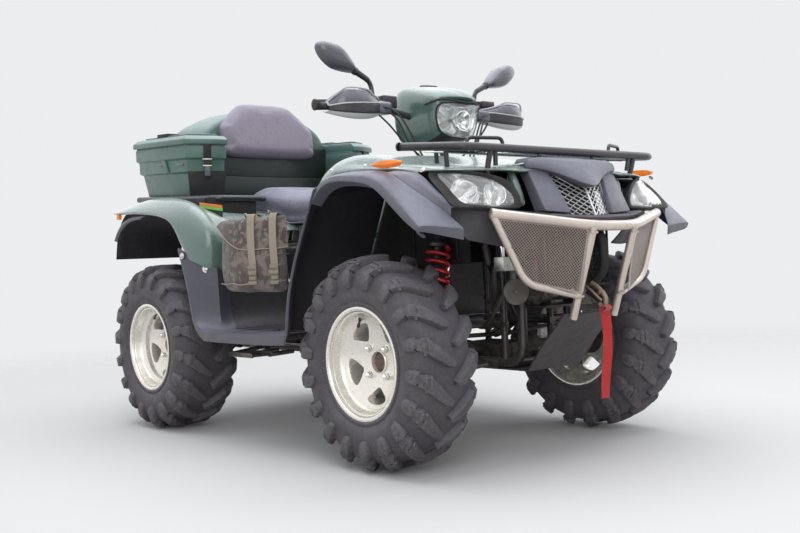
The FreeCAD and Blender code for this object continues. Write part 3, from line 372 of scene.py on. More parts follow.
def stuffed(obj, reach, voxel=8.0, pressure=4.0):
    """Swells a cushion with the cloth solver: an even mesh, blown up from its foot, its reach capped."""
    scene = bpy.context.scene
    work = bpy.data.objects.new(obj.name + "_cloth", obj.data.copy())
    scene.collection.objects.link(work)
    even = work.modifiers.new("even", "REMESH")
    even.mode = "VOXEL"
    even.voxel_size = voxel * MM
    bpy.context.view_layer.update()
    start = bpy.data.meshes.new_from_object(work.evaluated_get(bpy.context.evaluated_depsgraph_get()))
    work.modifiers.clear()
    work.data = start
    places = [v.co.copy() for v in start.vertices]
    held = work.vertex_groups.new(name="held")
    held.add([v.index for v in start.vertices if v.normal.z < HELD_BELOW], 1.0, "REPLACE")
    cloth = work.modifiers.new("cloth", "CLOTH")
    cloth.settings.quality = 5
    cloth.settings.use_pressure = True
    cloth.settings.uniform_pressure_force = pressure
    cloth.settings.vertex_group_mass = "held"
    cloth.settings.effector_weights.gravity = 0
    cloth.point_cache.frame_start = 1
    cloth.point_cache.frame_end = CLOTH_FRAMES
    for frame in range(1, CLOTH_FRAMES + 1):
        scene.frame_set(frame)
    swollen = bpy.data.meshes.new_from_object(work.evaluated_get(bpy.context.evaluated_depsgraph_get()))
    scene.frame_set(1)
    for vertex, place in zip(swollen.vertices, places):
        move = vertex.co - place
        if move.length > reach * MM:
            vertex.co = place + move * (reach * MM / move.length)
    edit = bmesh.new()
    edit.from_mesh(swollen)
    for _ in range(CLOTH_SMOOTHING):
        bmesh.ops.smooth_vert(edit, verts=edit.verts, factor=0.5, use_axis_x=True, use_axis_y=True,
                              use_axis_z=True)
    edit.to_mesh(swollen)
    edit.free()
    swollen.materials.clear()
    for look in obj.data.materials:
        swollen.materials.append(look)
    for polygon in swollen.polygons:
        polygon.material_index = 0
    bpy.data.objects.remove(work)
    obj.data = swollen
    subdivide(obj, 1)
    return settle(obj, 60)


# Materials


class Look:
    """A material whose nodes are added with short calls."""

    def __init__(self, name):
        self.material = bpy.data.materials.new(name)
        self.material.use_nodes = True
        self.tree = self.material.node_tree
        self.shader = self.tree.nodes["Principled BSDF"]
        self.place = self.node("ShaderNodeTexCoord").outputs["Object"]

    def node(self, kind, links=None, **settings):
        made = self.tree.nodes.new(kind)
        for name, value in settings.items():
            setattr(made, name, value)
        for name, value in (links or {}).items():
            if isinstance(value, bpy.types.NodeSocket):
                self.tree.links.new(value, made.inputs[name])
            else:
                made.inputs[name].default_value = value
        return made

    def noise(self, scale, detail=4.0, rough=0.55, warp=0.0, place=None):
        links = {"Vector": place or self.place, "Scale": scale, "Detail": detail, "Roughness": rough,
                 "Distortion": warp}
        return self.node("ShaderNodeTexNoise", links).outputs["Fac"]

    def math(self, operation, a, b=0.0):
        return self.node("ShaderNodeMath", {0: a, 1: b}, operation=operation).outputs[0]

    def spread(self, value, low, high, to_low=0.0, to_high=1.0):
        return self.node("ShaderNodeMapRange", {"Value": value, "From Min": low, "From Max": high,
                                                "To Min": to_low, "To Max": to_high}).outputs["Result"]

    def mix(self, share, a, b):
        made = self.node("ShaderNodeMix", data_type="RGBA")
        for number, value in ((0, share), (6, a), (7, b)):
            if isinstance(value, bpy.types.NodeSocket):
                self.tree.links.new(value, made.inputs[number])
            elif number == 0:
                made.inputs[0].default_value = value
            else:
                made.inputs[number].default_value = (*value, 1.0)
        return made.outputs[2]

    def bump(self, height, depth, distance=0.001, normal=None):
        links = {"Height": height, "Strength": depth, "Distance": distance}
        if normal:
            links["Normal"] = normal
        return self.node("ShaderNodeBump", links).outputs["Normal"]

    def set(self, **values):
        for name, value in values.items():
            socket = self.shader.inputs[name.replace("_", " ")]
            if isinstance(value, bpy.types.NodeSocket):
                self.tree.links.new(value, socket)
            else:
                socket.default_value = (*value, 1.0) if isinstance(value, tuple) else value
        return self


def surface(name, colour, second, rough=(0.35, 0.5), grain=900.0, grain_depth=0.15, patch=5.0, dirt=None,
            dirt_share=0.25, worn=None, drops=False, low_dirt=0.0, painted_sky_sheen=None, **shader):
    """A moulded, painted or rubber surface: patches, dirt, worn edges, a painted sky reflection on upward
    faces and a fine grain.
    """
    look = Look(name)
    patches = look.noise(patch, 3.0, 0.5, 0.3)
    tint = look.mix(look.spread(patches, 0.3, 0.7), colour, second)
    fine = look.noise(patch * 11, 9.0, 0.68)
    if worn:
        edges = look.node("ShaderNodeNewGeometry").outputs["Pointiness"]
        rubbed = look.math("MULTIPLY", look.spread(edges, 0.53, 0.62), look.spread(fine, 0.42, 0.6))
        tint = look.mix(rubbed, tint, worn)
    # Painted reflection: a pale colour mixed in on upward faces, standing in for the sky's sheen from above.
    if painted_sky_sheen:
        up = look.node("ShaderNodeSeparateXYZ",
                       {"Vector": look.node("ShaderNodeNewGeometry").outputs["Normal"]})
        share = look.math("MULTIPLY", look.spread(up.outputs["Z"], 0.05, 0.95),
                          look.spread(fine, 0.36, 0.6, painted_sky_sheen[1] * 0.72, painted_sky_sheen[1]))
        tint = look.mix(share, tint, painted_sky_sheen[0])
    if dirt:
        share = look.spread(fine, 0.60 - dirt_share * 0.25, 0.86 - dirt_share * 0.2)
        share = look.math("MULTIPLY", share, look.spread(patches, 0.3, 0.7, 0.2, 0.6))
        if low_dirt:
            height = look.node("ShaderNodeSeparateXYZ", {"Vector": look.place}).outputs["Z"]
            low = look.math("MULTIPLY", look.spread(height, 0.75, 0.2),
                            look.spread(fine, 0.38, 0.62, 0.2, 1.0))
            share = look.math("MAXIMUM", share, look.math("MULTIPLY", low, low_dirt))
        tint = look.mix(share, tint, dirt)
    look.set(Base_Color=tint, Roughness=look.spread(look.noise(patch * 6, 4.0), 0.3, 0.7, *rough))
    normal = look.bump(look.noise(grain, 3.0), grain_depth, 0.0006)
    if drops:
        cells = look.node("ShaderNodeTexVoronoi", {"Vector": look.place, "Scale": 210.0})
        parts = look.node("ShaderNodeSeparateColor", {"Color": cells.outputs["Color"]})
        chosen = look.spread(parts.outputs["Red"], 0.74, 0.76)
        bead = look.math("MULTIPLY", look.spread(cells.outputs["Distance"], 0.42, 0.1), chosen)
        normal = look.bump(bead, 0.7, 0.0012, normal)
    look.set(Normal=normal, **shader)
    return look.material


MUD = (0.105, 0.082, 0.062)
# A look's painted_sky_sheen is its painted sky reflection on upward faces: the pale colour and its share.
LOOKS = {
    "green": surface("green_plastic", (0.088, 0.158, 0.132), (0.104, 0.180, 0.152), (0.2, 0.32), 700, 0.05,
        painted_sky_sheen=((0.56, 0.66, 0.66), 0.72), dirt=(0.20, 0.21, 0.18), dirt_share=0.22, drops=True,
        Coat_Weight=0.5, Coat_Roughness=0.1),
    "box_green": surface("box_green", (0.075, 0.150, 0.128), (0.092, 0.174, 0.150), (0.34, 0.5), 1400, 0.22,
        painted_sky_sheen=((0.46, 0.56, 0.58), 0.7), dirt=(0.16, 0.18, 0.15), dirt_share=0.3, drops=True),
    "grey": surface("nose_grey", (0.088, 0.088, 0.112), (0.108, 0.107, 0.134), (0.38, 0.54), 1600, 0.3,
        painted_sky_sheen=((0.42, 0.43, 0.56), 0.6), dirt=(0.22, 0.21, 0.21), dirt_share=0.24, drops=True),
    "black": surface("black_plastic", (0.022, 0.021, 0.026), (0.034, 0.032, 0.040), (0.4, 0.62), 1500, 0.3,
        painted_sky_sheen=((0.15, 0.15, 0.19), 0.5), dirt=MUD, dirt_share=0.4, low_dirt=0.5),
    "inner": surface("inner_black", (0.010, 0.010, 0.011), (0.016, 0.015, 0.016), (0.6, 0.85), 1200, 0.3,
        dirt=(0.045, 0.036, 0.03), dirt_share=0.4, low_dirt=0.6),
    "paint": surface("black_paint", (0.016, 0.016, 0.020), (0.024, 0.023, 0.029), (0.2, 0.42), 1100, 0.15,
        painted_sky_sheen=((0.16, 0.16, 0.21), 0.45), dirt=MUD, dirt_share=0.35, low_dirt=0.7),
    "cast": surface("cast_metal", (0.20, 0.19, 0.18), (0.28, 0.27, 0.25), (0.4, 0.65), 600, 0.35, dirt=MUD,
        dirt_share=0.5, low_dirt=0.8, Metallic=0.75),
    "dark_metal": surface("dark_metal", (0.045, 0.042, 0.04), (0.07, 0.065, 0.06), (0.4, 0.7), 700, 0.3,
        dirt=MUD, dirt_share=0.5, worn=(0.25, 0.22, 0.2), low_dirt=0.8, Metallic=0.4),
    "tyre": surface("tyre_rubber", (0.060, 0.055, 0.064), (0.088, 0.080, 0.092), (0.55, 0.8), 800, 0.4,
        patch=9.0, dirt=(0.17, 0.14, 0.125), dirt_share=0.5, worn=(0.2, 0.18, 0.19),
        painted_sky_sheen=((0.27, 0.25, 0.30), 0.5)),
    "wheel": surface("wheel_silver", (0.74, 0.71, 0.65), (0.82, 0.79, 0.72), (0.2, 0.32), 900, 0.08,
        patch=7.0, dirt=(0.34, 0.27, 0.2), dirt_share=0.2, Metallic=0.55),
    "guard": surface("guard_steel", (0.50, 0.43, 0.375), (0.60, 0.52, 0.455), (0.26, 0.4), 1000, 0.06,
        patch=6.0, dirt=(0.27, 0.2, 0.16), dirt_share=0.28, painted_sky_sheen=((0.78, 0.74, 0.74), 0.7), Metallic=0.65),
    "guard_sheet": surface("guard_sheet", (0.27, 0.225, 0.20), (0.34, 0.285, 0.25), (0.3, 0.45), 1000, 0.06,
        patch=6.0, dirt=(0.2, 0.15, 0.12), dirt_share=0.3, Metallic=0.6),
    # A lighter copy of the black plastic, painted light for the outward faces of the leg panels and the rear
    # arch rims.
    "leg": surface("leg_plastic_lit_copy", (0.052, 0.051, 0.070), (0.068, 0.066, 0.090), (0.32, 0.5), 1400, 0.2,
        dirt=(0.13, 0.12, 0.12), dirt_share=0.3, low_dirt=0.25, painted_sky_sheen=((0.28, 0.28, 0.38), 0.6)),
    # Near-black green of the box's front recess: painted shade in the recess, darker again in patches.
    "dark_green": surface("dark_green", (0.011, 0.019, 0.017), (0.016, 0.026, 0.023), (0.3, 0.5), 1400, 0.2,
        dirt=(0.01, 0.012, 0.011), dirt_share=0.4),
    "chrome": surface("chrome", (0.78, 0.78, 0.78), (0.84, 0.84, 0.84), (0.1, 0.2), 600, 0.03,
        Metallic=1.0),
    "zinc": surface("zinc", (0.45, 0.45, 0.44), (0.56, 0.56, 0.54), (0.25, 0.45), 700, 0.15, patch=12.0,
        dirt=MUD, dirt_share=0.3, Metallic=0.85),
    "red": surface("spring_red", (0.74, 0.016, 0.020), (0.62, 0.014, 0.017), (0.16, 0.3), 600, 0.04,
        dirt=MUD, dirt_share=0.12, Coat_Weight=0.6, Coat_Roughness=0.08),
    "boot": surface("boot_rubber", (0.022, 0.021, 0.021), (0.034, 0.031, 0.03), (0.6, 0.8), 900, 0.2,
        dirt=MUD, dirt_share=0.5, low_dirt=0.6),
    "bronze": surface("cap_bronze", (0.10, 0.062, 0.048), (0.16, 0.10, 0.08), (0.4, 0.6), 500, 0.5,
        patch=40.0, dirt=MUD, dirt_share=0.4, Metallic=0.5),
    "vinyl": surface("seat_vinyl", (0.082, 0.079, 0.108), (0.105, 0.100, 0.138), (0.26, 0.42), 420, 0.4,
        dirt=(0.012, 0.011, 0.012), dirt_share=0.5, drops=True, painted_sky_sheen=((0.52, 0.54, 0.70), 0.85),
        Sheen_Weight=0.15),
    "pad": surface("pad_vinyl", (0.185, 0.155, 0.205), (0.215, 0.18, 0.235), (0.36, 0.52), 420, 0.5,
        dirt=(0.045, 0.038, 0.045), dirt_share=0.42, painted_sky_sheen=((0.5, 0.48, 0.62), 0.7), Sheen_Weight=0.2),
    "white": surface("white_trim", (0.66, 0.66, 0.66), (0.58, 0.57, 0.56), (0.35, 0.5), 800, 0.1,
        dirt=(0.3, 0.27, 0.24), dirt_share=0.25),
    "webbing": surface("strap_webbing", (0.42, 0.36, 0.28), (0.36, 0.30, 0.23), (0.7, 0.9), 1700, 0.8,
        dirt=(0.16, 0.13, 0.10), dirt_share=0.3),
    "shell": surface("guard_shell", (0.085, 0.084, 0.105), (0.105, 0.103, 0.128), (0.2, 0.34), 900, 0.1,
        painted_sky_sheen=((0.46, 0.48, 0.58), 0.8), dirt=(0.22, 0.21, 0.20), dirt_share=0.2, Coat_Weight=0.3,
        Coat_Roughness=0.12),
    "buckle": surface("bag_buckle", (0.25, 0.22, 0.17), (0.31, 0.27, 0.21), (0.35, 0.5), 900, 0.1,
        dirt=(0.22, 0.18, 0.14), dirt_share=0.3),
    "lime": surface("lime_strip", (0.16, 0.55, 0.05), (0.22, 0.66, 0.08), (0.2, 0.3), 1500, 0.3),
    "wire": surface("silver_wire", (0.50, 0.50, 0.50), (0.60, 0.60, 0.60), (0.25, 0.4), 700, 0.1,
        patch=12.0, dirt=MUD, dirt_share=0.2, Metallic=0.8),
    "rust": surface("rusty_steel", (0.21, 0.14, 0.10), (0.30, 0.24, 0.20), (0.45, 0.7), 500, 0.4,
        patch=20.0, dirt=(0.12, 0.06, 0.035), dirt_share=0.4, Metallic=0.6),
}


def glassy(name, colour, rough, cloud=0.0, **shader):
    """Clear or tinted plastic with faint streaks."""
    look = Look(name)
    streaks = look.noise(30.0, 4.0, 0.5, 0.4)
    clouded = tuple(c * (1 - cloud) for c in colour)
    look.set(Base_Color=look.mix(look.spread(streaks, 0.3, 0.7), colour, clouded),
             Roughness=look.spread(streaks, 0.3, 0.7, rough, rough * 1.8), **shader)
    return look.material


LOOKS["lens"] = glassy("clear_lens", (0.95, 0.96, 0.97), 0.08, 0.04, Transmission_Weight=0.86, IOR=1.35)
# The amber look's faint emission is a painted glow, shown by the marker lenses and by the side reflector
# strip, which is no lamp.
LOOKS["amber"] = glassy("amber_lens", (0.95, 0.30, 0.02), 0.12, 0.15, Transmission_Weight=0.35, IOR=1.4,
                        Emission_Color=(0.9, 0.25, 0.0), Emission_Strength=0.12)
LOOKS["reflector"] = glassy("lamp_reflector", (0.86, 0.86, 0.86), 0.06, 0.1, Metallic=1.0)
LOOKS["bulb"] = glassy("lamp_bulb", (0.9, 0.86, 0.78), 0.08, 0.1, Transmission_Weight=0.5)
LOOKS["mirror"] = glassy("mirror_glass", (0.82, 0.84, 0.86), 0.01, 0.02, Metallic=1.0)


def camo():
    """Faded printed camouflage on the bag's canvas, over a plain weave."""
    look = Look("bag_canvas")
    large = look.noise(16.0, 2.0, 0.5, 0.8)
    shifted = look.node("ShaderNodeMapping", {"Vector": look.place, "Location": (3.1, 1.7, 0.4)})
    second = look.noise(24.0, 3.0, 0.55, 1.2, shifted.outputs["Vector"])
    tint = look.mix(look.spread(large, 0.46, 0.50), (0.235, 0.185, 0.165), (0.110, 0.082, 0.082))
    tint = look.mix(look.spread(second, 0.54, 0.57), tint, (0.085, 0.098, 0.085))
    tint = look.mix(look.spread(look.noise(40.0, 3.0, 0.6, 0.5), 0.60, 0.63), tint, (0.30, 0.235, 0.20))
    fade = look.noise(7.0, 6.0, 0.65)
    tint = look.mix(look.spread(fade, 0.45, 0.75, 0.0, 0.55), tint, (0.34, 0.28, 0.26))
    across = look.node("ShaderNodeTexWave", {"Vector": look.place, "Scale": 260.0}, bands_direction="Y")
    along = look.node("ShaderNodeTexWave", {"Vector": look.place, "Scale": 260.0}, bands_direction="Z")
    weave = look.math("MULTIPLY", across.outputs["Fac"], along.outputs["Fac"])
    look.set(Base_Color=tint, Roughness=0.88, Normal=look.bump(weave, 0.5, 0.0006), Sheen_Weight=0.2)
    return look.material


def red_webbing():
    """Red woven webbing with its fine diagonal rib."""
    look = Look("strap_red")
    rib = look.node("ShaderNodeTexWave", {"Vector": look.place, "Scale": 300.0}, bands_direction="DIAGONAL")
    worn = look.noise(20.0, 6.0, 0.6)
    tint = look.mix(look.spread(worn, 0.45, 0.75), (0.52, 0.018, 0.020), (0.36, 0.020, 0.022))
    look.set(Base_Color=tint, Roughness=0.7, Normal=look.bump(rib.outputs["Fac"], 0.5, 0.0007),
             Sheen_Weight=0.3)
    return look.material


LOOKS["camo"] = camo()
LOOKS["strap"] = red_webbing()

# The construction's own pieces keep their shape and get a finish: nodes, look
FINISHES = {
    "paint": ["frame", "suspension_arms", "front_rack", "rear_rack", "handlebar", "mirrors"],
    "dark_metal": ["engine", "tie_rod_left", "tie_rod_right", "muffler", "hitch"],
    "cast": ["knuckle_left", "knuckle_right", "rear_uprights"],
    "black": ["skid_plate", "leg_panels", "side_covers", "controls", "dampers", "bumper_shelf", "winch"],
    "grey": ["flares", "nose_cap"],
    "green": ["front_fender", "rear_fender", "tank_cover", "pod"],
    "box_green": ["cargo_box", "box_lid_left", "box_lid_right"],
    "boot": ["drive_shafts"],
    "red": ["springs"],
    "guard": ["front_guard", "guard_panels"],
    "inner": ["grilles"],
    "amber": ["marker_lights"],
    "lens": ["headlights", "pod_lens"],
    "vinyl": ["seat"],
    "pad": ["backrest_pad"],
    "camo": ["side_bag"],
    "strap": ["hook_strap"],
    "rust": ["winch_hook"],
    "white": ["hand_guards"],
    "tyre": ["tyre_front_left", "tyre_front_right", "tyre_rear_left", "tyre_rear_right"],
    "wheel": ["rim_front_left", "rim_front_right", "rim_rear_left", "rim_rear_right"],
}


def finish_nodes():
    """Gives the construction's own pieces their looks."""
    for look, names in FINISHES.items():
        for name in names:
            node = frame["nodes"][name]
            node.data.materials.clear()
            node.data.materials.append(LOOKS[look])


# Stage: floor, light and camera

CAMERA_PLACE = (-2.288, -2.8295, 0.611)
CAMERA_AZIMUTH = math.radians(-39.97)
CAMERA_HEIGHT_ANGLE = math.radians(0.40)
CAMERA_ROLL = math.radians(-2.39)
SENSOR = 36.0
PHOTO_WIDTH = 800
FOCAL_PIXELS = 994.4
# Soft lights: name, place, target, size, power
LIGHTS = [
    ("sky_panel", (0, 0, 4.2), (0, 0, 0), 5.0, 125),
    ("front_panel", (-3.4, -4.2, 2.6), (0, 0, 0.6), 3.0, 75),
    ("side_panel", (4.2, -1.2, 2.4), (0, 0, 0.6), 2.5, 22),
]
# Colour and strength of the light from all round, and of what the camera and glossy surfaces see
AMBIENT = (0.93, 0.95, 1.0, 1), 0.42
BACKDROP = (0.84, 0.85, 0.86, 1), 1.0
GLOSS_BOOST = 0.55
FLOOR_REACH = 40
FLOOR_FADE = 1.6, 5.5       # distances from the middle over which the floor fades out


def stage():
    """Camera of the photograph's view, floor, sky and lights."""
    scene = bpy.context.scene
    scene.view_settings.view_transform = "Standard"
    camera = bpy.data.cameras.new("camera")
    camera.sensor_width = SENSOR
    camera.lens = FOCAL_PIXELS * SENSOR / PHOTO_WIDTH
    holder = bpy.data.objects.new("camera", camera)
    scene.collection.objects.link(holder)
    scene.camera = holder
    back = Vector((math.sin(CAMERA_AZIMUTH) * math.cos(CAMERA_HEIGHT_ANGLE),
                   -math.cos(CAMERA_AZIMUTH) * math.cos(CAMERA_HEIGHT_ANGLE), math.sin(CAMERA_HEIGHT_ANGLE)))
    right = (-back).cross(Vector((0, 0, 1))).normalized()
    up = right.cross(-back)
    right, up = (right * math.cos(CAMERA_ROLL) + up * math.sin(CAMERA_ROLL),
                 up * math.cos(CAMERA_ROLL) - right * math.sin(CAMERA_ROLL))
    holder.matrix_world = Matrix.Translation(CAMERA_PLACE) @ Matrix((right, up, back)).transposed().to_4x4()
    floor()
    sky()
    for light in LIGHTS:
        soft_light(*light)


def floor():
    """A pale floor that fades out with distance."""
    points = [(x * FLOOR_REACH, y * FLOOR_REACH, 0) for x, y in ((-1, -1), (1, -1), (1, 1), (-1, 1))]
    mesh = bpy.data.meshes.new("floor")
    mesh.from_pydata(points, [], [(0, 1, 2, 3)])
    obj = bpy.data.objects.new("floor", mesh)
    bpy.context.scene.collection.objects.link(obj)
    look = Look("floor")
    look.set(Base_Color=(0.90, 0.90, 0.90), Roughness=0.9)
    reach = look.node("ShaderNodeVectorMath", {0: look.place}, operation="LENGTH").outputs["Value"]
    look.set(Alpha=look.math("POWER", look.spread(reach, *FLOOR_FADE, 1.0, 0.0), 1.6))
    mesh.materials.append(look.material)


def sky():
    """A soft grey light from all round, that shows as a pale backdrop."""
    world = bpy.data.worlds.new("sky")
    bpy.context.scene.world = world
    world.use_nodes = True
    tree = world.node_tree
    plain, shown = tree.nodes["Background"], tree.nodes.new("ShaderNodeBackground")
    for node, (colour, strength) in ((plain, AMBIENT), (shown, BACKDROP)):
        node.inputs["Color"].default_value = colour
        node.inputs["Strength"].default_value = strength
    rays = tree.nodes.new("ShaderNodeLightPath").outputs

    def joined(kind, values, operation=None):
        made = tree.nodes.new(kind)
        if operation:
            made.operation = operation
        for socket, value in zip(made.inputs, values):
            if isinstance(value, float):
                socket.default_value = value
            else:
                tree.links.new(value, socket)
        return made.outputs[0]

    seen = joined("ShaderNodeMath", (rays["Is Camera Ray"], rays["Is Glossy Ray"]), "MAXIMUM")
    seen = joined("ShaderNodeMath", (seen, rays["Is Transmission Ray"]), "MAXIMUM")
    boost = joined("ShaderNodeMath", (rays["Is Glossy Ray"], GLOSS_BOOST, 1.0), "MULTIPLY_ADD")
    tree.links.new(boost, shown.inputs["Strength"])
    mix = joined("ShaderNodeMixShader", (seen, plain.outputs[0], shown.outputs[0]))
    tree.links.new(mix, tree.nodes["World Output"].inputs["Surface"])


def soft_light(name, place, target, size, power):
    """A square lamp that looks at its target."""
    lamp = bpy.data.lights.new(name, "AREA")
    lamp.size = size
    lamp.energy = power
    obj = bpy.data.objects.new(name, lamp)
    obj.location = place
    obj.rotation_euler = (Vector(target) - Vector(place)).to_track_quat("-Z", "Y").to_euler()
    bpy.context.scene.collection.objects.link(obj)


# Wheels, made round the X axis with +X outward and the middle of the tyre at the origin

LUGS_A_SIDE = 18
CROWN_R = 294.0
# Tyre section from the bead to the crown: distance inboard of the half width, radius
TYRE_SECTION = [(20, 151), (19, 162), (15, 168), (13, 173), (16, 179), (10, 190), (6, 205), (5, 222),
                (7, 240), (12, 256), (20, 270), (31, 280), (46, 286.5), (66, 290.5)]
# Tread lug: share of the way round the section, distance round the tread, width, height
LUG = [
    (0.03, -44, 15, 20.0),
    (0.13, -37, 25, 21.5),
    (0.30, -19, 30, 22.0),
    (0.44, 0, 34, 22.0),
    (0.55, 15, 38, 22.0),
    (0.62, 21, 37, 21.0),
    (0.635, 22, 27, 19.0),
    (0.675, 24, 27, 18.0),
    (0.69, 24, 40, 19.0),
    (0.80, 27, 42, 16.0),
    (0.92, 28, 38, 11.0),
    (0.985, 28, 26, 6.0),
    (1.00, 28, 12, 1.0),
]
LUG_REACH = 148.0           # along the section from the crown to the lugs' outer ends
FRONT_TYRE_HALF = 106.0
# Ticks round the sidewall: how many, inset from the half width, inner and outer radius, half width
TICKS, TICK_INSET, TICK_LOW, TICK_HIGH, TICK_HALF = 108, 12.5, 172, 178, 1.6


def section_line(half):
    """The tyre's section from the outer bead over the crown to the inner one."""
    line = [Vector((half - inset, radius)) for inset, radius in TYRE_SECTION] + [Vector((0, CROWN_R))]
    smooth = flowing(line, 4)
    return smooth + [Vector((-p.x, p.y)) for p in smooth[-2::-1]]


def along_section(line, distance):
    """Place and outward direction on the section, a distance from the crown towards +X."""
    start = len(line) // 2
    gone = 0.0
    for i in range(start, 0, -1):
        step = (line[i - 1] - line[i]).length
        if gone + step >= distance:
            t = (distance - gone) / step
            way = (line[i - 1] - line[i]).normalized()
            return line[i].lerp(line[i - 1], t), Vector((-way.y, way.x))
        gone += step
    return line[0], Vector((1, 0))


def on_tyre(line, along, round_it, height):
    """A point over the tyre: along the section, round the tread and up from the carcass."""
    place, normal = along_section(line, abs(along))
    if normal.y < 0:
        normal = -normal
    spot = place + normal * height
    angle = round_it / CROWN_R
    return Vector((spot.x, spot.y * math.sin(angle), spot.y * math.cos(angle))) * MM


def tread_lug(form, line, half):
    """One curved lug: a wider tyre stretches it along the section."""
    stations = [(share * LUG_REACH * (half / FRONT_TYRE_HALF) ** 0.35, *rest) for share, *rest in LUG]
    rings = []
    for i, (along, round_it, width, height) in enumerate(stations):
        before, after = stations[max(i - 1, 0)], stations[min(i + 1, len(stations) - 1)]
        way = Vector((after[0] - before[0], after[1] - before[1])).normalized()
        side = Vector((-way.y, way.x))
        ring = []
        for reach, lift in ((-0.58, -3.0), (-0.44, height), (0.44, height), (0.58, -3.0)):
            spot = Vector((along, round_it)) + side * width * reach
            ring.append(on_tyre(line, max(spot.x, 0.5), spot.y, lift))
        rings.append(ring)
    skin(form, rings)
    # Two narrow ribs on the lug's shoulder: distance round the tread, height
    ridge = ((-14, 14.0), (6, 24.0), (30, 24.0), (36, 14.0))
    for share in (0.50, 0.56):
        along = share * LUG_REACH
        foot = [on_tyre(line, along, round_it, 8.0) for round_it, lift in ridge]
        sides = [[on_tyre(line, along + side, round_it, lift) for round_it, lift in ridge]
                 for side in (-2.4, 2.4)]
        skin(form, [foot, *sides, foot], caps=False)


def tyre(half):
    """Carcass, raised rim bands and curved lugs that wrap over the shoulders."""
    line = section_line(half)
    form = Form()
    lathe(form, [(p.x, p.y) for p in line], Vector(), (1, 0, 0), 120)
    one = Form()
    tread_lug(one, line, half)
    step = 2 * math.pi / LUGS_A_SIDE
    for i in range(LUGS_A_SIDE):
        form.join(one.turned(Vector(), (1, 0, 0), -i * step))
        form.join(one.mirrored().turned(Vector(), (1, 0, 0), -(i + 0.5) * step))
    tick = Form()
    for side in (1, -1):
        x = (half - TICK_INSET) * side
        for i in range(TICKS):
            angle = 2 * math.pi * i / TICKS
            out = Vector((0, math.sin(angle), math.cos(angle)))
            around = Vector((0, math.cos(angle), -math.sin(angle)))
            outline = [Vector((x, 0, 0)) + out * r + around * w
                       for r, w in ((TICK_LOW, -TICK_HALF), (TICK_LOW, TICK_HALF), (TICK_HIGH, TICK_HALF),
                                    (TICK_HIGH, -TICK_HALF))]
            prism(tick, [p * MM for p in outline], Vector((TICK_HALF * side * MM, 0, 0)))
    return form.join(tick)


SPOKES = 5
DISC_FACE = 18.0
NUT_CIRCLE = 55.0
RIM_LOOKS = ["wheel", "bronze", "chrome", "dark_metal", "boot"]
SIDES = (("left", 1), ("right", -1))
# Axles: name, place along the vehicle, half track, half widths of the tyre and of the rim
AXLES = (("front", 0, 467, 106, 88), ("rear", WHEELBASE, 480, 122, 105))


def rim_barrel(form, half):
    """Rolled outer lip, stepped well and inner lip."""
    profile = [(half + 3.5, 158), (half + 4, 161), (half + 3, 165), (half - 1, 166), (half - 3.5, 165),
               (half - 4, 158), (half - 5, 152.5), (half - 26, 151), (half - 34, 147), (half - 42, 134),
               (24 - half, 134), (12 - half, 150), (4 - half, 152.5), (3 - half, 164), (-half - 2, 166),
               (-half - 4, 164), (-half - 4, 158), (2 - half, 150), (10 - half, 143), (26 - half, 127),
               (half - 46, 127), (half - 38, 139), (half - 31, 143.5), (half - 12, 145), (half - 9, 146.5),
               (half - 8, 150.5), (half - 3, 152), (half + 1, 153.5)]
    lathe(form, profile, Vector(), (1, 0, 0), 96, closed=True)


def disc_with_windows(name):
    """The dished disc, with five rounded triangular windows cut through it."""
    profile = [(DISC_FACE + 1, 34), (DISC_FACE + 1, 66), (DISC_FACE + 5, 78), (DISC_FACE + 10, 100),
               (DISC_FACE + 20, 122), (DISC_FACE + 30, 134), (DISC_FACE - 16, 134), (DISC_FACE - 12, 112),
               (DISC_FACE - 16, 80), (DISC_FACE - 22, 66), (DISC_FACE - 22, 34)]
    form = lathe(Form(), profile, Vector(), (1, 0, 0), 90, closed=True)
    disc = bare_object(name, form)
    corners = [(0, 70), (44, 107), (30, 119), (0, 124), (-30, 119), (-44, 107)]
    outline = [Vector((0, y * MM, z * MM)) for y, z in corners]
    ring = rounded([outline[0].lerp(outline[-1], 0.5)] + outline + [outline[0].lerp(outline[-1], 0.5)],
                   13 * MM, 4)[:-1]
    for i in range(SPOKES):
        cutter = prism(Form(), [p + Vector((-0.08, 0, 0)) for p in ring], Vector((0.2, 0, 0)))
        tool = bare_object("window", cutter.turned(Vector(), (1, 0, 0), (i + 0.5) * 2 * math.pi / SPOKES))
        cut = disc.modifiers.new("window", "BOOLEAN")
        cut.object, cut.operation, cut.solver = tool, "DIFFERENCE", "EXACT"
        settle(disc)
        bpy.data.objects.remove(tool)
    bevel(disc, 3.0, 3, 50)
    settle(disc)
    made = Form()
    made.points = [v.co.copy() for v in disc.data.vertices]
    made.faces = [list(p.vertices) for p in disc.data.polygons]
    made.slots = [0] * len(made.faces)
    bpy.data.objects.remove(disc)
    return made


def bare_object(name, form):
    """An object of a form with no look, for cutting."""
    mesh = bpy.data.meshes.new(name)
    mesh.from_pydata([tuple(p) for p in form.points], [], form.faces)
    weld(mesh, (), 0)
    obj = bpy.data.objects.new(name, mesh)
    bpy.context.scene.collection.objects.link(obj)
    return obj


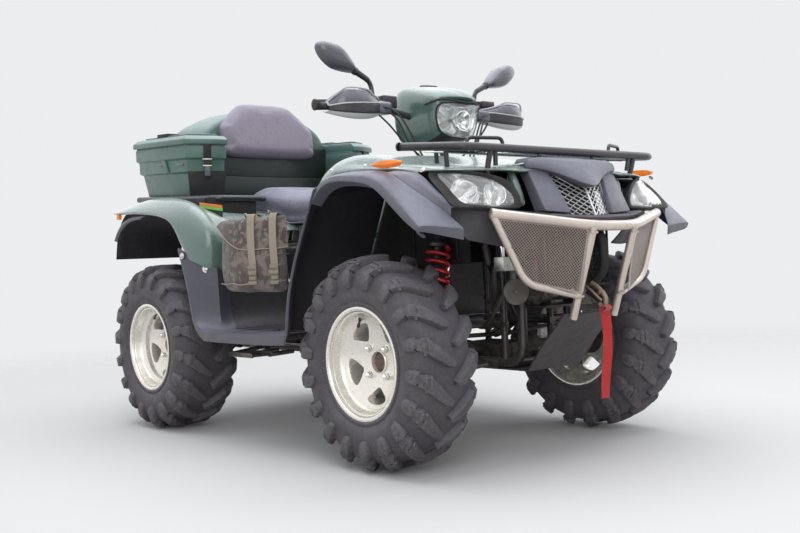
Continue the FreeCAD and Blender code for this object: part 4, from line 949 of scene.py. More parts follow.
def hub_parts(form, sleeve_end):
    """Cap in its collar, wheel nuts, valve and the hub behind, with looks by their place in RIM_LOOKS."""
    centre = Vector((DISC_FACE * MM, 0, 0))
    lathe(form, [(0, 34), (3, 35), (5, 33.5), (5, 31), (-10, 29)], centre, (1, 0, 0), 48, 0)
    lathe(form, [(-9, 29.5), (-6, 28), (-5, 24), (-3, 22), (-4, 10), (-2, 8), (-2, POINT)], centre,
          (1, 0, 0), 40, 1)
    for i in range(4):
        angle = math.radians(45 + 90 * i)
        spot = Vector((DISC_FACE * MM, math.sin(angle) * NUT_CIRCLE * MM, math.cos(angle) * NUT_CIRCLE * MM))
        lathe(form, [(1, 12.5), (3, 12.5), (3.5, 10.5)], spot, (1, 0, 0), 24, 2)
        lathe(form, [(2, 9.6), (15, 9.2)], spot, (1, 0, 0), 6, 2)
        lathe(form, [(15, 8.4), (19, 7.2), (21, 4.5), (21.5, POINT)], spot, (1, 0, 0), 18, 2)
    stem = Vector(((DISC_FACE + 26) * MM, 0.100 * math.sin(0.5), 0.128))
    lathe(form, [(0, 6.5), (6, 6), (8, 3.6), (20, 3.6), (20, 4.6), (29, 4.6), (30, 3), (30, POINT)],
          stem, (0.5, -0.2, -0.85), 14, 4)
    lathe(form, [(DISC_FACE - 20, 62), (DISC_FACE - 30, 60), (DISC_FACE - 34, 34), (sleeve_end, 25),
                 (sleeve_end, POINT)],
          Vector(), (1, 0, 0), 40, 3)


def wheels():
    """Four tyres and rims, each riding on its wheel's body."""
    disc = disc_with_windows("wheel_disc")
    for axle, y, track, half_tyre, half_rim in AXLES:
        metal = Form()
        rim_barrel(metal, half_rim)
        metal.join(disc)
        hub_parts(metal, DISC_FACE - 76)
        kinds = (("tyre", tyre(half_tyre), "tyre", "tyre", 2.6), ("rim", metal, RIM_LOOKS, "wheel", 0))
        for side, sign in SIDES:
            for kind, form, looks, slot, edge in kinds:
                shape = (form if sign > 0 else form.mirrored()).moved(at(sign * track, y, TYRE_R))
                node = "%s_%s_%s" % (kind, axle, side)
                piece(node + "_shape", shape, looks, node, slot, "wheel_%s_%s" % (axle, side), edge=edge,
                      angle=42)


# Front bodywork, drawn for the left side and mirrored

# Hood and front fenders from the middle outward: places from the front edge to the rear edge
HOOD = [
    [(0, -338, 874), (0, -300, 880), (0, -210, 886), (0, -80, 904), (0, 60, 938), (0, 150, 950),
     (0, 225, 944), (0, 268, 918)],
    [(120, -338, 870), (120, -300, 876), (120, -210, 882), (120, -80, 902), (120, 60, 934), (120, 150, 948),
     (122, 222, 940), (124, 268, 905)],
    [(200, -352, 842), (205, -318, 866), (210, -215, 876), (215, -80, 896), (220, 60, 930), (220, 148, 944),
     (225, 216, 928), (228, 268, 870)],
    [(262, -347, 849), (270, -300, 862), (280, -205, 872), (290, -80, 890), (300, 56, 926), (300, 142, 940),
     (305, 210, 918), (305, 266, 842)],
    [(330, -328, 850), (340, -285, 862), (352, -195, 872), (365, -80, 892), (380, 50, 928), (385, 138, 941),
     (390, 204, 912), (390, 264, 828)],
    [(400, -292, 850), (410, -250, 864), (424, -180, 876), (440, -80, 894), (452, 44, 926), (455, 132, 937),
     (456, 196, 905), (456, 260, 815)],
    [(447, -253, 851), (456, -220, 864), (470, -168, 876), (486, -80, 890), (500, 40, 914), (506, 124, 920),
     (510, 190, 888), (512, 250, 806)],
    [(476, -226, 853), (494, -198, 864), (514, -150, 872), (530, -76, 880), (538, 36, 896), (542, 116, 896),
     (546, 180, 864), (545, 208, 814)],
    [(494, -214, 848), (516, -186, 858), (534, -150, 864), (548, -72, 871), (553, 34, 878), (555, 108, 872),
     (556, 156, 840), (555, 186, 804)],
    [(494, -214, 842), (516, -186, 852), (536, -150, 858), (550, -70, 866), (555, 34, 872), (556, 105, 866),
     (557, 150, 834), (556, 180, 798)],
]
# Wheel arch flare from its rear end to the foot: seam, shoulder, lip and inner edge
FLARE = [
    [(550, 168, 808), (584, 158, 806), (597, 152, 800), (602, 146, 786), (560, 150, 778)],
    [(553, 150, 838), (586, 139, 831), (598, 131, 822), (603, 124, 808), (560, 130, 798)],
    [(555, 109, 862), (587, 100, 857), (599, 92, 851), (604, 84, 836), (560, 88, 824)],
    [(556, 36, 871), (588, 31, 865), (600, 27, 858), (605, 24, 842), (560, 26, 830)],
    [(557, -56, 866), (588, -53, 860), (600, -50, 852), (605, -46, 835), (560, -44, 822)],
    [(558, -120, 860), (588, -118, 854), (600, -114, 845), (605, -108, 826), (560, -104, 812)],
    [(558, -172, 852), (588, -166, 842), (600, -160, 830), (605, -152, 810), (560, -144, 796)],
    [(556, -219, 820), (588, -211, 810), (600, -204, 798), (605, -194, 778), (560, -182, 764)],
    [(530, -262, 784), (588, -252, 776), (600, -246, 765), (605, -234, 745), (560, -222, 732)],
    [(500, -300, 749), (588, -294, 739), (601, -288, 729), (605, -276, 711), (560, -262, 698)],
    [(466, -342, 698), (586, -328, 708), (601, -322, 701), (604, -312, 688), (560, -298, 676)],
    [(459, -350, 686), (586, -337, 698), (600, -331, 693), (603, -322, 682), (560, -308, 668)],
    [(458, -348, 656), (584, -333, 680), (596, -328, 680), (598, -318, 676), (560, -300, 668)],
]
# Panel between the flare and the lamp: outer edge on the flare's seam, crease, edge on the lamp's ring
CHEEK = [
    [(553, -150, 853), (530, -162, 856), (508, -180, 854), (490, -206, 849)],
    [(556, -190, 842), (532, -200, 850), (508, -212, 848), (489, -224, 840)],
    [(554, -218, 818), (526, -228, 834), (505, -236, 834), (488, -250, 820)],
    [(529, -261, 782), (512, -264, 806), (498, -272, 802), (485, -286, 788)],
    [(500, -299, 746), (497, -302, 768), (490, -308, 768), (482, -318, 764)],
    [(480, -324, 720), (480, -326, 742), (478, -330, 744), (474, -336, 744)],
]
# Lens outline on the left side, from its top outer corner inward and back along the bottom
LENS = [(447, -241, 841), (410, -270, 841), (381, -297, 836), (341, -317, 827), (306, -333, 812),
        (277, -344, 790), (263, -350, 766), (271, -352, 750), (300, -352, 746), (339, -350, 745),
        (399, -345, 749), (440, -338, 754), (452, -318, 772), (452, -284, 804)]
LENS_MIDDLE = (365, -322, 788)
LENS_RING = [(463, -226, 846), (438, -256, 848), (385, -294, 845), (330, -322, 835), (277, -342, 816),
             (248, -351, 785), (241, -356, 752), (250, -356, 740), (300, -356, 738), (350, -354, 738),
             (410, -350, 741), (478, -334, 745), (487, -300, 782), (487, -256, 822)]
# Liner behind the rear wheel: y, z
LINER_LINE = [(1470, 862), (1520, 845), (1562, 822), (1600, 782), (1625, 735), (1640, 660)]


def bodywork():
    """Hood with the fenders, the flares, the panels beside the lamps, and the rear wheels' liners."""
    panel("hood_and_fenders", HOOD, ["green", "inner"], "front_fender", "green_plastic", hard_rows=(8,),
          edge=1.2, crease=0.5, lining=1)
    panel("front_flares", FLARE, "grey", "flares", "black_plastic", wall=COVER_WALL, hard_rows=(11,),
          hard_columns=(2, 3), even=False, edge=1.6, crease=0.72, segments=3)
    panel("lamp_cheeks", CHEEK, "grey", "flares", "black_plastic", wall=COVER_WALL, hard_columns=(1,),
          even=False, edge=1.2, crease=0.5)
    liner = [[(x, y, z) for y, z in LINER_LINE] for x in (250, 400, 545)]
    panel("rear_arch_liners", liner, "black", "flares", "black_plastic", edge=1.2)


def headlamps():
    """Bulged lens over a reflector bowl with two bulbs, in a black ring."""
    lens = smooth_loop([at(*p) for p in LENS], 4)
    middle = at(*LENS_MIDDLE)
    out = Vector((0.42, -0.80, 0.43)).normalized()
    bulge = [[p - out * 0.003 for p in lens], [p + out * 0.001 for p in lens]]
    bulge += rings_inside(lens, middle, out, ((0.92, 6), (0.72, 12), (0.42, 17), (0.12, 19)))
    piece("headlamp_lenses", skin(Form(), bulge).both(), "lens", "headlights", "clear_lens", angle=50)
    rings = [[p - out * 0.004 for p in lens]]
    rings += rings_inside(lens, middle, out, ((0.96, -16), (0.86, -34), (0.66, -52), (0.40, -62),
                                              (0.15, -66)))
    bowl = skin(Form(), rings, caps=False)
    for x, y, z, r in ((395, -292, 794, 30), (318, -326, 780, 32)):
        lathe(bowl, [(-34, 6), (-20, r * 0.62), (-6, r * 0.92), (2, r), (2, r + 2), (-8, r + 1.5)],
              at(x, y, z), out, 40)
        lathe(bowl, [(-32, 7), (-14, 7), (-12, 5), (-10, POINT)], at(x, y, z), out, 20, 1)
    for i in range(9):
        x = 270 + i * 20
        y, z = -352 + max(0, x - 400) * 0.14, 750
        back = -out * 0.03
        prism(bowl, [at(x, y + 5, z + 5), at(x + 2, y + 5, z + 5), at(x + 2, y + 5, z + 11),
                     at(x, y + 5, z + 11)], back)
    piece("headlamp_reflectors", bowl.both(), ["reflector", "bulb"], replaces="headlights",
          slot="clear_lens", angle=50)
    ring = Form()
    rim = smooth_loop([at(*p) for p in LENS_RING], 4)
    rows = [rim, [p + out * 0.004 for p in rim]]
    for share, rise in ((0.25, 6), (0.75, 3), (0.985, 0), (1.0, -8)):
        rows.append([p.lerp(q, share) + out * rise * MM for p, q in zip(rim, lens)])
    sheet(ring, rows, closed=True, hard_rows=(1, 4))
    back = [rim, [middle.lerp(p, 0.95) - out * 0.03 for p in rim],
            [middle.lerp(p, 0.2) - out * 0.075 for p in rim]]
    skin(ring, back, caps=False)
    piece("headlamp_rings", ring.both(), "inner", levels=1, angle=45)


# Nose: station over the width, places from the top rear edge over the brow to the underside
NOSE_TOP = [
    [(0, -296, 893), (0, -340, 892), (0, -364, 882), (0, -396, 846), (0, -425, 806), (0, -431, 796),
     (0, -420, 790), (0, -350, 800)],
    [(40, -296, 893), (40, -340, 892), (40, -361, 882), (40, -384, 854), (40, -404, 822), (40, -409, 812),
     (40, -400, 806), (40, -340, 815)],
    [(80, -296, 892), (80, -340, 891), (80, -358, 882), (80, -374, 862), (80, -386, 838), (80, -389, 829),
     (80, -381, 824), (80, -330, 832)],
    [(120, -296, 891), (120, -338, 891), (120, -354, 884), (120, -364, 870), (120, -371, 853),
     (120, -372, 845), (120, -365, 841), (120, -320, 848)],
    [(160, -296, 889), (160, -334, 889), (160, -347, 883), (162, -354, 872), (163, -358, 860),
     (163, -358, 853), (160, -350, 850), (160, -314, 856)],
    [(188, -296, 884), (188, -330, 885), (191, -341, 880), (193, -346, 872), (194, -348, 862),
     (193, -347, 856), (188, -340, 852), (188, -310, 858)],
    [(197, -296, 872), (197, -326, 874), (198, -334, 872), (199, -338, 866), (199, -339, 860),
     (198, -336, 856), (195, -330, 853), (195, -306, 858)],
]
# Cover between the lamp and the pillar, from the top down
BRIDGE = [
    [(199, -300, 862), (246, -338, 848), (250, -300, 850), (200, -262, 866)],
    [(199, -330, 800), (238, -352, 790), (244, -312, 790), (200, -290, 800)],
    [(199, -352, 742), (232, -358, 738), (240, -318, 738), (200, -310, 742)],
]
# Slanted pillar: outer front, inner front, inner back and outer back corners from the top down
PILLAR = [
    [(193, -338, 872), (122, -354, 862), (118, -330, 860), (190, -300, 868)],
    [(193, -343, 848), (119, -357, 838), (114, -332, 836), (192, -306, 846)],
    [(192, -366, 804), (109, -379, 798), (103, -352, 798), (193, -330, 802)],
    [(191, -390, 757), (99, -402, 752), (92, -376, 752), (194, -350, 756)],
    [(190, -405, 729), (94, -415, 722), (87, -390, 722), (195, -362, 729)],
]


def nose():
    """Brow, slanted pillars and the bridges beside the lamps."""
    panel("nose_brow", NOSE_TOP, "grey", "nose_cap", "nose_grey", wall=COVER_WALL, hard_columns=(2, 5),
          hard_rows=(5,), edge=1.4, crease=0.9)
    pillar = skin(Form(), rows_at(PILLAR), hard_columns=(0, 1))
    piece("nose_pillars", pillar.both(), "grey", "nose_cap", "nose_grey", edge=4, segments=3, angle=50)
    piece("lamp_bridges", skin(Form(), rows_at(BRIDGE)).both(), "green", "front_fender", "green_plastic",
          levels=2, edge=1.5)


# Corners of the V between the pillars: middle and side at the top and at the foot
V_TOP = Vector((0, -372, 838)), Vector((117, -338, 850))
V_FOOT = Vector((0, -424, 715)), Vector((92, -396, 720))


def on_v(across, up):
    """A point of the V: share from the middle to the side, share from the foot to the top."""
    return at(*V_FOOT[0].lerp(V_FOOT[1], across).lerp(V_TOP[0].lerp(V_TOP[1], across), up))


def v_grille():
    """Woven diamond wires in the V between the pillars, with a dark sheet behind."""
    wires = Form()
    pitch, lean_rate, fine = 0.27, 2.1, 40
    for i in range(-9, 14):
        for lean in (1, -1):
            path = []
            for k in range(fine + 1):
                across = i * pitch + lean * lean_rate * (k / fine)
                if 0 <= across <= 1:
                    path.append(on_v(across, k / fine) + Vector((0, -0.0014 * lean, 0)))
            if len(path) > 2:
                tube(wires, path, 1.7, 6)
    both = wires.both()
    for side in (0, 1):
        edge = [on_v(side, k / 6) for k in range(7)]
        tube(both, edge, 3.4, 8)
        if side:
            tube(both, [Vector((-p.x, p.y, p.z)) for p in edge], 3.4, 8)
    piece("grille_wires", both, "wire", "grilles", "nose_grey", angle=50)
    behind = rows_at([[(-118, -312, 846), (0, -330, 834), (118, -312, 846)],
                      [(-94, -362, 716), (0, -392, 712), (94, -362, 716)]])
    piece("grille_dark", sheet(Form(), behind), "inner", "grilles", "nose_grey", wall=2)


def radiator_grille():
    """Crossed wires in a frame below the V, each wire cut at the frame's sides."""
    low = Form()
    step, side, foot, height, run = 15.5, 132, 516, 172, 100
    for i in range(-12, 22):
        for lean in (1, -1):
            start = -140 + i * step + (run if lean < 0 else 0)
            a, b = Vector((start, 0, foot)), Vector((start + lean * run, 0, foot + height))
            t0, t1 = 0.0, 1.0
            for limit, sign in ((-side, 1), (side, -1)):
                gap0, gap1 = (a.x - limit) * sign, (b.x - limit) * sign
                if gap0 < 0 and gap1 < 0:
                    t0, t1 = 1, 0
                elif gap0 < 0:
                    t0 = max(t0, gap0 / (gap0 - gap1))
                elif gap1 < 0:
                    t1 = min(t1, gap0 / (gap0 - gap1))
            if t1 - t0 > 0.03:
                p, q = a.lerp(b, t0), a.lerp(b, t1)
                tube(low, [at(p.x, -353 + lean, p.z), at(q.x, -353 + lean, q.z)], 1.8, 5)
    corners = [(-135, 514), (135, 514), (135, 690), (-135, 690), (-135, 514)]
    tube(low, [at(x, -353, z) for x, z in corners], 5, 6)
    piece("radiator_grille", low, "inner", "grilles", "nose_grey", angle=50)


# Bull bar, racks and other tube work

GUARD_RAIL = [(-371, -367, 725), (-92, -488, 683), (92, -488, 683), (371, -367, 725)]


def bull_bar():
    """Satin tubes: the rail, two uprights and two lower tubes, with caps and collars."""
    bars = Form()
    tube(bars, rounded([at(*p) for p in GUARD_RAIL], 60 * MM, 8), 14.5, 20)
    for side in (1, -1):
        tube(bars, [at(side * 92, -488, 680), at(side * 92, -401, 421)], 11.5, 18)
        lower = [at(side * 94, -428, 487), at(side * 265, -384, 529), at(side * 368, -369, 722)]
        tube(bars, rounded(lower, 45 * MM, 10), 10.5, 18)
        for y, z in ((-487, 668), (-430, 490)):
            lathe(bars, [(-2, 13.5), (2, 14), (5, 12)], at(side * 92, y, z), (0, 0.3, -1), 20)
        lathe(bars, [(-6, 15), (1, 15), (3, 12), (3.5, POINT)], at(side * 371, -367, 725),
              (side, 0.45, 0.15), 24)
    piece("bull_bar", bars, "guard", "front_guard", "guard_steel", angle=50)


# Perforated panel of the left side: corners, pitch and radius of the holes, half the sheet's thickness.
# A cell is a diamond of the staggered pattern, in shares of the pitch, with a round hole.
PANEL_CORNERS = [(352, -374, 709), (104, -480, 673), (104, -428, 500), (262, -384, 538)]
HOLE_PITCH = 9.2 * MM
HOLE_R = 2.9 * MM
SHEET_HALF = 0.6 * MM
DIAMOND = [(0.5, 0), (0.25, 0.25), (0, 0.5), (-0.25, 0.25), (-0.5, 0), (-0.25, -0.25), (0, -0.5),
           (0.25, -0.25)]


def bull_bar_panels():
    """Perforated sheets between the rail and the lower tubes, with a plain border."""
    a, b, c, d = (at(*p) for p in PANEL_CORNERS)
    across = (b - a).normalized()
    normal = (b - a).cross(d - a).normalized()
    down = normal.cross(across)
    if (c - b).dot(down) < 0:
        down = -down
    outline = [(0.0, 0.0), ((b - a).length, 0.0)]
    outline += [((p - a).dot(across), (p - a).dot(down)) for p in (c, d)]
    centre = (sum(p[0] for p in outline) / 4, sum(p[1] for p in outline) / 4)

    def spot(u, v):
        return a + across * u + down * v

    def inside(u, v):
        return all((u1 - u0) * (v - v0) - (v1 - v0) * (u - u0) >= 0
                   for (u0, v0), (u1, v1) in zip(outline, outline[1:] + outline[:1]))

    panels = Form()
    for i in range(-1, int(outline[2][1] / (HOLE_PITCH * 0.5)) + 2):
        for j in range(-1, int(outline[1][0] / HOLE_PITCH) + 2):
            u, v = (j + (i % 2) * 0.5) * HOLE_PITCH, i * HOLE_PITCH * 0.5
            if inside(u, v):
                cell = [(u + HOLE_PITCH * du, v + HOLE_PITCH * dv) for du, dv in DIAMOND]
                cell += [(u + HOLE_R * math.cos(k * math.pi / 4), v + HOLE_R * math.sin(k * math.pi / 4))
                         for k in range(8)]
                panels.add([spot(*p) for p in cell],
                           [(k, (k + 1) % 8, 8 + (k + 1) % 8, 8 + k) for k in range(8)])
    middle = spot(*centre)
    inner, outer = ([middle.lerp(spot(*p), share) for p in outline] for share in (0.965, 1.045))
    for first, second, lift in ((outer, inner, -SHEET_HALF), (inner, outer, SHEET_HALF)):
        sheet(panels, [[p + normal * lift for p in first], [p + normal * lift for p in second]], closed=True)
    piece("bull_bar_panels", panels.both(), "guard_sheet", "guard_panels", "guard_steel", wall=1.6, angle=35)


def racks():
    """Mesh, hoops and posts of the front rack; its tube is the construction's own."""
    bars, wires = Form(), Form()
    front, back, side_x, pitch, slant = -318, -118, 402, 27, 200

    def deck_z(y):
        return 910 + (y + 325) * (20 / 215) - 10

    for lean in (1, -1):
        for i in range(-14, 30):
            x0 = -400 + i * pitch
            x1 = x0 + lean * slant
            if max(x0, x1) <= side_x and min(x0, x1) >= -side_x:
                tube(wires, [at(x, y, deck_z(y) + lean) for x, y in ((x0, front), (x1, back))], 1.9, 5)
    for side in (1, -1):
        hoop = [(342, -250, 915), (338, -252, 946), (240, -292, 944), (236, -292, 912)]
        tube(bars, rounded([at(side * x, y, z) for x, y, z in hoop], 16 * MM, 6), 5.5, 12)
        for x, y in ((300, -322), (120, -324), (420, -250), (330, -112)):
            high, low = (906, 862) if y < -200 else (926, 886)
            tube(bars, [at(side * x, y, high), at(side * x * 0.98, y + 6, low)], 7, 10)
        lathe(bars, [(-3, 12.5), (2, 13), (4, 10), (5, POINT)], at(side * 470, -110, 930),
              (side * 0.2, 1, 0.1), 20)
    tube(bars, [at(-395, -222, 912), at(395, -222, 912)], 8, 12)
    piece("front_rack_fittings", bars, "paint", angle=50)
    piece("front_rack_wires", wires, "wire", angle=50)


# Shock absorbers: foot and top eyes of the left side
SHOCKS = [((268, -12, 422), (228, 6, 676)), ((268, 1297, 422), (236, 1290, 676))]


def springs():
    """Smooth coils, ground flat at both ends, on dampers with a collar and a boot."""
    coils, bodies = Form(), Form()
    turns, steps = 6.6, 24
    count = int(turns * steps)
    for foot, top in SHOCKS:
        foot, top = at(*foot), at(*top)
        along = (top - foot).normalized()
        across = along.orthogonal().normalized()
        second = along.cross(across)
        length = (top - foot).length
        start, end = 0.052, length - 0.034
        path = []
        for k in range(count + 1):
            t = k / count
            squeezed = 0.5 - 0.5 * math.cos(math.pi * t)
            level = start + (end - start) * (t * 0.86 + squeezed * 0.14)
            angle = 2 * math.pi * turns * t
            wide = 0.0345 - 0.010 * max(0.0, 1 - t * 4) ** 1.5
            path.append(foot + along * level + (across * math.cos(angle) + second * math.sin(angle)) * wide)
        tube(coils, path, 6.3, 10)
        eye = [(-14, POINT), (-14, 9), (0, 13), (14, 11), (30, 11)]
        collar = [(34, 27), (50, 29), (52, 24), (60, 23)]
        rod = [(length * 500, 22), (length * 520, 16), (length * 820, 14)]
        full = length * 1000
        top_eye = [(full - 34, 14), (full - 33, 33), (full - 24, 34), (full - 20, 20), (full - 6, 14),
                   (full + 8, 13), (full + 14, POINT)]
        lathe(bodies, eye + collar + rod + top_eye, foot, along, 32)
    piece("spring_coils", coils.both(), "red", "springs", "spring_red", angle=60)
    piece("damper_bodies", bodies.both(), "paint", "dampers", "damper_black", angle=50)


# Pod stations: y, bow of the ends, z of the top, half width there, widest half width and its z, half width
# below, z below
POD = [
    (94, 40, 1136, 50, 90, 1124, 80, 1116), (108, 36, 1152, 60, 98, 1126, 84, 1064),
    (134, 22, 1168, 68, 102, 1124, 76, 1010), (180, 8, 1181, 76, 106, 1118, 74, 994),
    (240, 0, 1192, 80, 107, 1112, 74, 988), (300, 0, 1199, 82, 106, 1112, 74, 988),
    (342, -8, 1201, 78, 100, 1110, 70, 996), (374, -14, 1196, 66, 88, 1106, 62, 1010),
    (388, -18, 1178, 50, 70, 1100, 48, 1036),
]
POD_BELLY_COLUMN = 7        # faces from this one on are the dark belly's
# Edge of the pod's lens and of the green lip over it, on the left half
POD_LENS = [(0, 100, 1114), (40, 102, 1115), (72, 112, 1116), (88, 126, 1113), (94, 140, 1098),
            (91, 146, 1064), (77, 146, 1030), (56, 138, 1013), (30, 130, 1006), (0, 126, 1004)]
POD_LIP = [(0, 92, 1117), (36, 95, 1120), (66, 108, 1126), (88, 122, 1128), (104, 146, 1122),
           (109, 176, 1116)]


def pod_cowl():
    """Green cowl over a dark belly, open in front where the lens sits."""
    rows = []
    for y, bow, z_top, top, wide, z_wide, low, z_low in POD:
        half = [(0, z_top), (top * 0.6, z_top - 1), (top, z_top - 6),
                (wide * 0.94, z_top * 0.62 + z_wide * 0.38), (wide, z_wide),
                (wide * 0.97, z_wide * 0.68 + z_low * 0.32),
                (low + (wide - low) * 0.5, z_wide * 0.3 + z_low * 0.7), (low, z_low + 6), (low * 0.6, z_low),
                (0, z_low - 2)]
        rows.append([(x, y + bow * (x / 100.0) ** 2, z) for x, z in half])
    cowl = sheet(Form(), rows_at(rows), hard_columns=(5,))
    columns = len(rows[0]) - 1
    kept = [n for n in range(len(cowl.faces)) if n // columns > 1 or n % columns < POD_BELLY_COLUMN - 1]
    cowl.slots = [0 if n % columns < POD_BELLY_COLUMN else 1 for n in kept]
    cowl.faces = [cowl.faces[n] for n in kept]
    for row in (rows[0], rows[-1]):
        sheet(cowl, rows_at([row, [(0, y, z) for x, y, z in row]]))
    piece("pod_cowl", cowl.both(), ["green", "black"], "pod", "green_plastic", "steering", wall=COVER_WALL,
          levels=2, crease=0.4)


def pod_lamp():
    """Bulged lens, reflector with its bulb, and the dark trim round them."""
    full = [at(*p) for p in POD_LENS] + [at(-x, y, z) for x, y, z in POD_LENS[-2:0:-1]]
    loop = smooth_loop(full, 3)
    middle, bulb = at(0, 120, 1060), at(0, 118, 1062)
    out = Vector((0, -1, -0.1)).normalized()
    rings = [loop, [p + out * 0.004 for p in loop]]
    rings += rings_inside(loop, middle, out, ((0.9, 9), (0.66, 14), (0.35, 17), (0.1, 18)))
    piece("pod_glass", skin(Form(), rings), "lens", "pod_lens", "clear_lens", "steering", angle=50)
    rings = [[p - out * 0.001 for p in loop]]
    rings += rings_inside(loop, middle, out, ((0.93, -10), (0.7, -26), (0.4, -36), (0.12, -40)))
    bowl = skin(Form(), rings, caps=False)
    lathe(bowl, [(-24, 8), (-10, 22), (2, 30), (2, 33), (-8, 31)], bulb, out, 40)
    lathe(bowl, [(-26, 7), (-8, 7), (-5, 4), (-4, POINT)], bulb, out, 18, 1)
    piece("pod_reflector", bowl, ["reflector", "bulb"], "pod_lens", "clear_lens", "steering", angle=50)
    trim = Form()
    lip = [at(-x, y, z) for x, y, z in POD_LIP[:0:-1]] + [at(*p) for p in POD_LIP]
    tube(trim, flowing(lip, 6), 4.6, 8, flat=0.6)
    ring = [p + out * 0.003 for p in loop]
    tube(trim, ring + [ring[0]], 3.2, 8, caps=False)
    lathe(trim, [(-8, 31), (2, 32), (5, 30), (6, POINT)], at(0, 275, 1196), (0, -0.12, 1), 40)
    piece("pod_trim", trim, "inner", body="steering", angle=50)


# Hand guard stations: x and y along it, z of the top, shoulder, band top, band bottom and lower edge
HAND_GUARD = [
    (228, 262, 1130, 1128, 1118, 1092, 1088), (258, 238, 1137, 1133, 1116, 1086, 1078),
    (286, 226, 1144, 1139, 1113, 1082, 1070), (306, 220, 1155, 1147, 1111, 1080, 1066),
    (350, 216, 1158, 1150, 1108, 1078, 1062), (394, 222, 1156, 1148, 1105, 1078, 1066),
    (420, 240, 1136, 1132, 1102, 1082, 1074), (438, 266, 1114, 1112, 1100, 1088, 1085),
]


def hand_guards():
    """Hand guard shells: dark upper panel with a pale border, black band, pale lower part."""
    upper, band, lower = [], [], []
    for x, y, top, shoulder, high, low, foot in HAND_GUARD:
        upper.append([(x, y + 20, top + 2), (x, y + 8, top), (x, y + 1, shoulder),
                      (x, y - 5, (shoulder + high) / 2), (x, y - 6, high + 3)])
        band.append([(x, y - 6, high + 3), (x, y - 10, high - 1), (x, y - 9, low + 3), (x, y - 4, low)])
        lower.append([(x, y - 4, low), (x, y + 1, (low + foot) / 2), (x, y + 12, foot),
                      (x, y + 24, foot + 4)])
    node = ("hand_guards", "guard_shell", "steering")
    panel("hand_guard_panels", upper, "shell", *node, wall=COVER_WALL)
    panel("hand_guard_bands", band, "black", *node, wall=5, hard_columns=(1, 2), crease=0.7)
    panel("hand_guard_undersides", lower, "white", *node, wall=COVER_WALL)
    border = Form()
    edge = [at(x, y + 2, top + 1) for x, y, top, *rest in HAND_GUARD]
    foot = [at(x, y - 8, rest[1] + 3) for x, y, top, *rest in HAND_GUARD]
    for line in (edge, foot):
        tube(border, flowing(line, 5), 3.4, 8, flat=0.7)
    tube(border, [edge[-1], at(441, 260, 1108), foot[-1]], 3.4, 8)
    piece("hand_guard_borders", border.both(), "white", body="steering", angle=60)
    clamp = Form()
    for x, y, z in ((228, 262, 1116), (250, 278, 1120)):
        lathe(clamp, [(-9, 16), (-8, 18), (8, 18), (9, 16)], at(x, y, z), (1, 0.1, 0.1), 20)
    tube(clamp, [at(436, 268, 1106), at(440, 300, 1112), at(446, 311, 1112)], 8, 12)
    piece("hand_guard_clamps", clamp.both(), "black", body="steering")


# Blocks on the bar by corners: switch box, inner box, reservoir, bar clamp, middle clamp
BAR_BLOCKS = [((272, 262, 1100), (312, 306, 1142)), ((232, 256, 1100), (266, 300, 1138)),
              ((250, 266, 1142), (312, 312, 1168)), ((146, 270, 1114), (206, 312, 1156)),
              ((-44, 232, 1078), (44, 292, 1100))]
# Control cables of the left side, from the levers to the hood
CABLES = [
    [(262, 250, 1118), (200, 214, 1090), (150, 196, 1010), (110, 190, 940), (80, 182, 905)],
    [(240, 252, 1112), (188, 226, 1070), (146, 218, 990), (96, 206, 930), (60, 196, 905)],
    [(280, 258, 1112), (220, 236, 1056), (160, 232, 1000), (90, 226, 950), (44, 214, 912)],
]


def bar_controls():
    """Ribbed grips, levers with their perches, and the boxes and clamps on the bar."""
    inner, outer = at(300, 290, 1120), at(452, 312, 1112)
    profile = [(18, 15)]
    for i in range(22):
        profile += [(20 + i * 6, 15.5), (22 + i * 6, 17), (24 + i * 6, 17), (25.5 + i * 6, 15.5)]
    profile += [(153, 18), (158, 18.5), (160, 16), (160.5, POINT)]
    grips = lathe(Form(), profile, inner, (outer - inner).normalized(), 24)
    piece("grips", grips.both(), "boot", "controls", "boot_rubber", "steering", angle=50)
    lever = flowing([at(262, 262, 1118), at(285, 240, 1119), at(330, 236, 1117), at(380, 246, 1114),
                     at(428, 262, 1110)], 6)
    levers = tube(Form(), lever, [7, 7] + [6] * (len(lever) - 3) + [8], 12, flat=0.6)
    piece("levers", levers.both(), "paint", body="steering", angle=60)
    blocks = Form()
    for low, high in BAR_BLOCKS:
        brick(blocks, low, high)
    piece("switch_housings", blocks.both(), "black", "controls", "boot_rubber", "steering", edge=6,
          segments=3)
    perch = brick(Form(), (196, 234, 1086), (262, 292, 1128))
    piece("lever_perches", perch.both(), "shell", body="steering", edge=12, segments=4)


def control_cables():
    """Cables held at the levers and in the hood's slot."""
    cables = Form()
    for run in CABLES:
        for sign in (1, -1):
            tube(cables, flowing([at(sign * x, y, z) for x, y, z in run], 8), 3.2, 8)
    cables = piece("bar_cables", cables, "boot", body=None, angle=60)
    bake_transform(cables)


